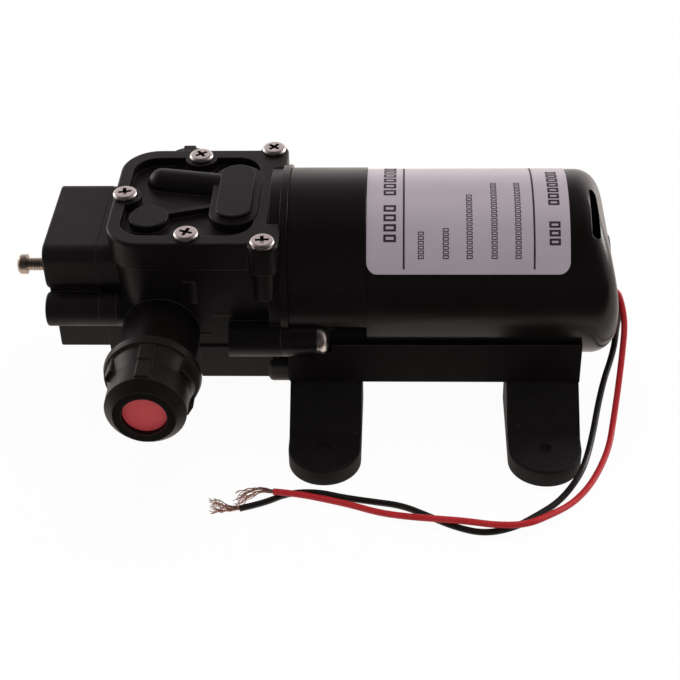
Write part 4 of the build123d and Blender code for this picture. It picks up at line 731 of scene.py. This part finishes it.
# The studio: an endless white table, and a white backdrop that is bright low down and fades towards the dark
# ceiling and the dark side that the camera looks from, which black plastic mirrors. A broad soft light hangs
# overhead, and two low ones stand behind: a small one on the left and a large one on the right.
def ray_kinds(tree):
    """Where a ray is seen directly or through something clear, and where it is seen in a reflection."""
    kinds = add_node(tree, "ShaderNodeLightPath", {}, {}).outputs
    direct = add_node(tree, "ShaderNodeMath", {"operation": "MAXIMUM"},
                      {0: kinds["Is Camera Ray"], 1: kinds["Is Transmission Ray"]})
    return direct.outputs[0], kinds["Is Glossy Ray"]


table_finish, tree, place = new_finish("white_table")
table_whiteness = 0.96          # how much of the table is pure white to the camera; the rest takes shadows
direct, glossy = ray_kinds(tree)
whitened = add_node(tree, "ShaderNodeMath", {"operation": "MULTIPLY"}, {0: direct, 1: table_whiteness})
board = add_node(tree, "ShaderNodeBsdfDiffuse", {}, {"Color": linear("#f4f4f4")})
white = add_node(tree, "ShaderNodeEmission", {}, {"Color": linear("#ffffff"), "Strength": 1.0})
# What is mirrored of the table: pale under and behind the pump, dark on the side that the camera is on
dark_end_y = -82 * mm
pale_start_y = -58 * mm
place_y = add_node(tree, "ShaderNodeSeparateXYZ", {}, {0: place}).outputs["Y"]
lit_part = add_node(tree, "ShaderNodeMapRange", {},
                    {0: place_y, 1: dark_end_y, 2: pale_start_y, 3: 0.03, 4: 0.9})
mirrored = add_node(tree, "ShaderNodeEmission", {},
                    {"Color": linear("#fff4ee"), "Strength": lit_part.outputs[0]})
lit_or_mirrored = add_node(tree, "ShaderNodeMixShader", {},
                           {0: glossy, 1: board.outputs[0], 2: mirrored.outputs[0]})
mixed = add_node(tree, "ShaderNodeMixShader", {},
                 {0: whitened.outputs[0], 1: lit_or_mirrored.outputs[0], 2: white.outputs[0]})
add_node(tree, "ShaderNodeOutputMaterial", {}, {"Surface": mixed.outputs[0]})

table_half = 3.0
table_top = bpy.data.meshes.new("table")
table_top.from_pydata([(-table_half, -table_half, 0), (table_half, -table_half, 0),
                       (table_half, table_half, 0), (-table_half, table_half, 0)], [], [(0, 1, 2, 3)])
table_top.materials.append(table_finish)
table = bpy.data.objects.new("table", table_top)
bpy.context.scene.collection.objects.link(table)


def soft_light(name, at, towards, size, power, mirrored):
    """A soft box aimed at a point, which shows in what mirrors it or not."""
    lamp = bpy.data.lights.new(name, "AREA")
    lamp.shape = "RECTANGLE"
    lamp.size, lamp.size_y = size
    lamp.energy = power
    lamp.color = (1.0, 0.975, 0.955)
    box = bpy.data.objects.new(name, lamp)
    box.location = at
    box.visible_glossy = mirrored
    box.rotation_euler = (Vector(towards) - Vector(at)).to_track_quat("-Z", "Y").to_euler()
    bpy.context.scene.collection.objects.link(box)


soft_light("overhead", (0.05, 0.25, 0.85), (0, 0, 0.03), (0.7, 0.5), 3.0, False)
soft_light("left_back", (-0.75, 0.45, 0.25), (0, 0, 0.03), (0.3, 0.4), 1.4, True)
soft_light("right_back", (0.8, 0.5, 0.14), (0, 0, 0.03), (0.4, 0.6), 6.5, True)

studio = bpy.data.worlds.new("studio")
studio.use_nodes = True
studio.node_tree.nodes.clear()
tree = studio.node_tree
direct, glossy = ray_kinds(tree)
room = add_node(tree, "ShaderNodeBackground", {}, {"Color": linear("#fffaf8"), "Strength": 0.62})
backdrop = add_node(tree, "ShaderNodeBackground", {}, {"Color": linear("#ffffff"), "Strength": 1.0})
direction = add_node(tree, "ShaderNodeTexCoord", {}, {}).outputs["Generated"]
parts = add_node(tree, "ShaderNodeSeparateXYZ", {}, {0: direction})
fade = add_node(tree, "ShaderNodeValToRGB", {}, {0: parts.outputs["Z"]})
fade.color_ramp.elements.remove(fade.color_ramp.elements[1])
fade.color_ramp.elements[0].position = 0
fade.color_ramp.elements[0].color = (1, 0.96, 0.95, 1)
# The backdrop's shine at each height, in degrees above the level
for elevation, shine in ((13, 1.0), (28, 0.7), (38, 0.46), (46, 0.32), (60, 0.2), (80, 0.1)):
    stop = fade.color_ramp.elements.new(math.sin(math.radians(elevation)))
    stop.color = (shine, 0.89 * shine, 0.92 * shine, 1)
# Behind the camera it is dark, and behind the pump it shines fully
behind = add_node(tree, "ShaderNodeMapRange", {}, {0: parts.outputs["Y"], 1: -0.35, 2: 0.1, 3: 0.06, 4: 1.0})
mirrored = add_node(tree, "ShaderNodeBackground", {},
                    {"Color": fade.outputs[0], "Strength": behind.outputs[0]})
lit_or_mirrored = add_node(tree, "ShaderNodeMixShader", {},
                           {0: glossy, 1: room.outputs[0], 2: mirrored.outputs[0]})
joined = add_node(tree, "ShaderNodeMixShader", {},
                  {0: direct, 1: lit_or_mirrored.outputs[0], 2: backdrop.outputs[0]})
add_node(tree, "ShaderNodeOutputWorld", {}, {"Surface": joined.outputs[0]})
bpy.context.scene.world = studio
bpy.context.scene.view_settings.view_transform = "Standard"
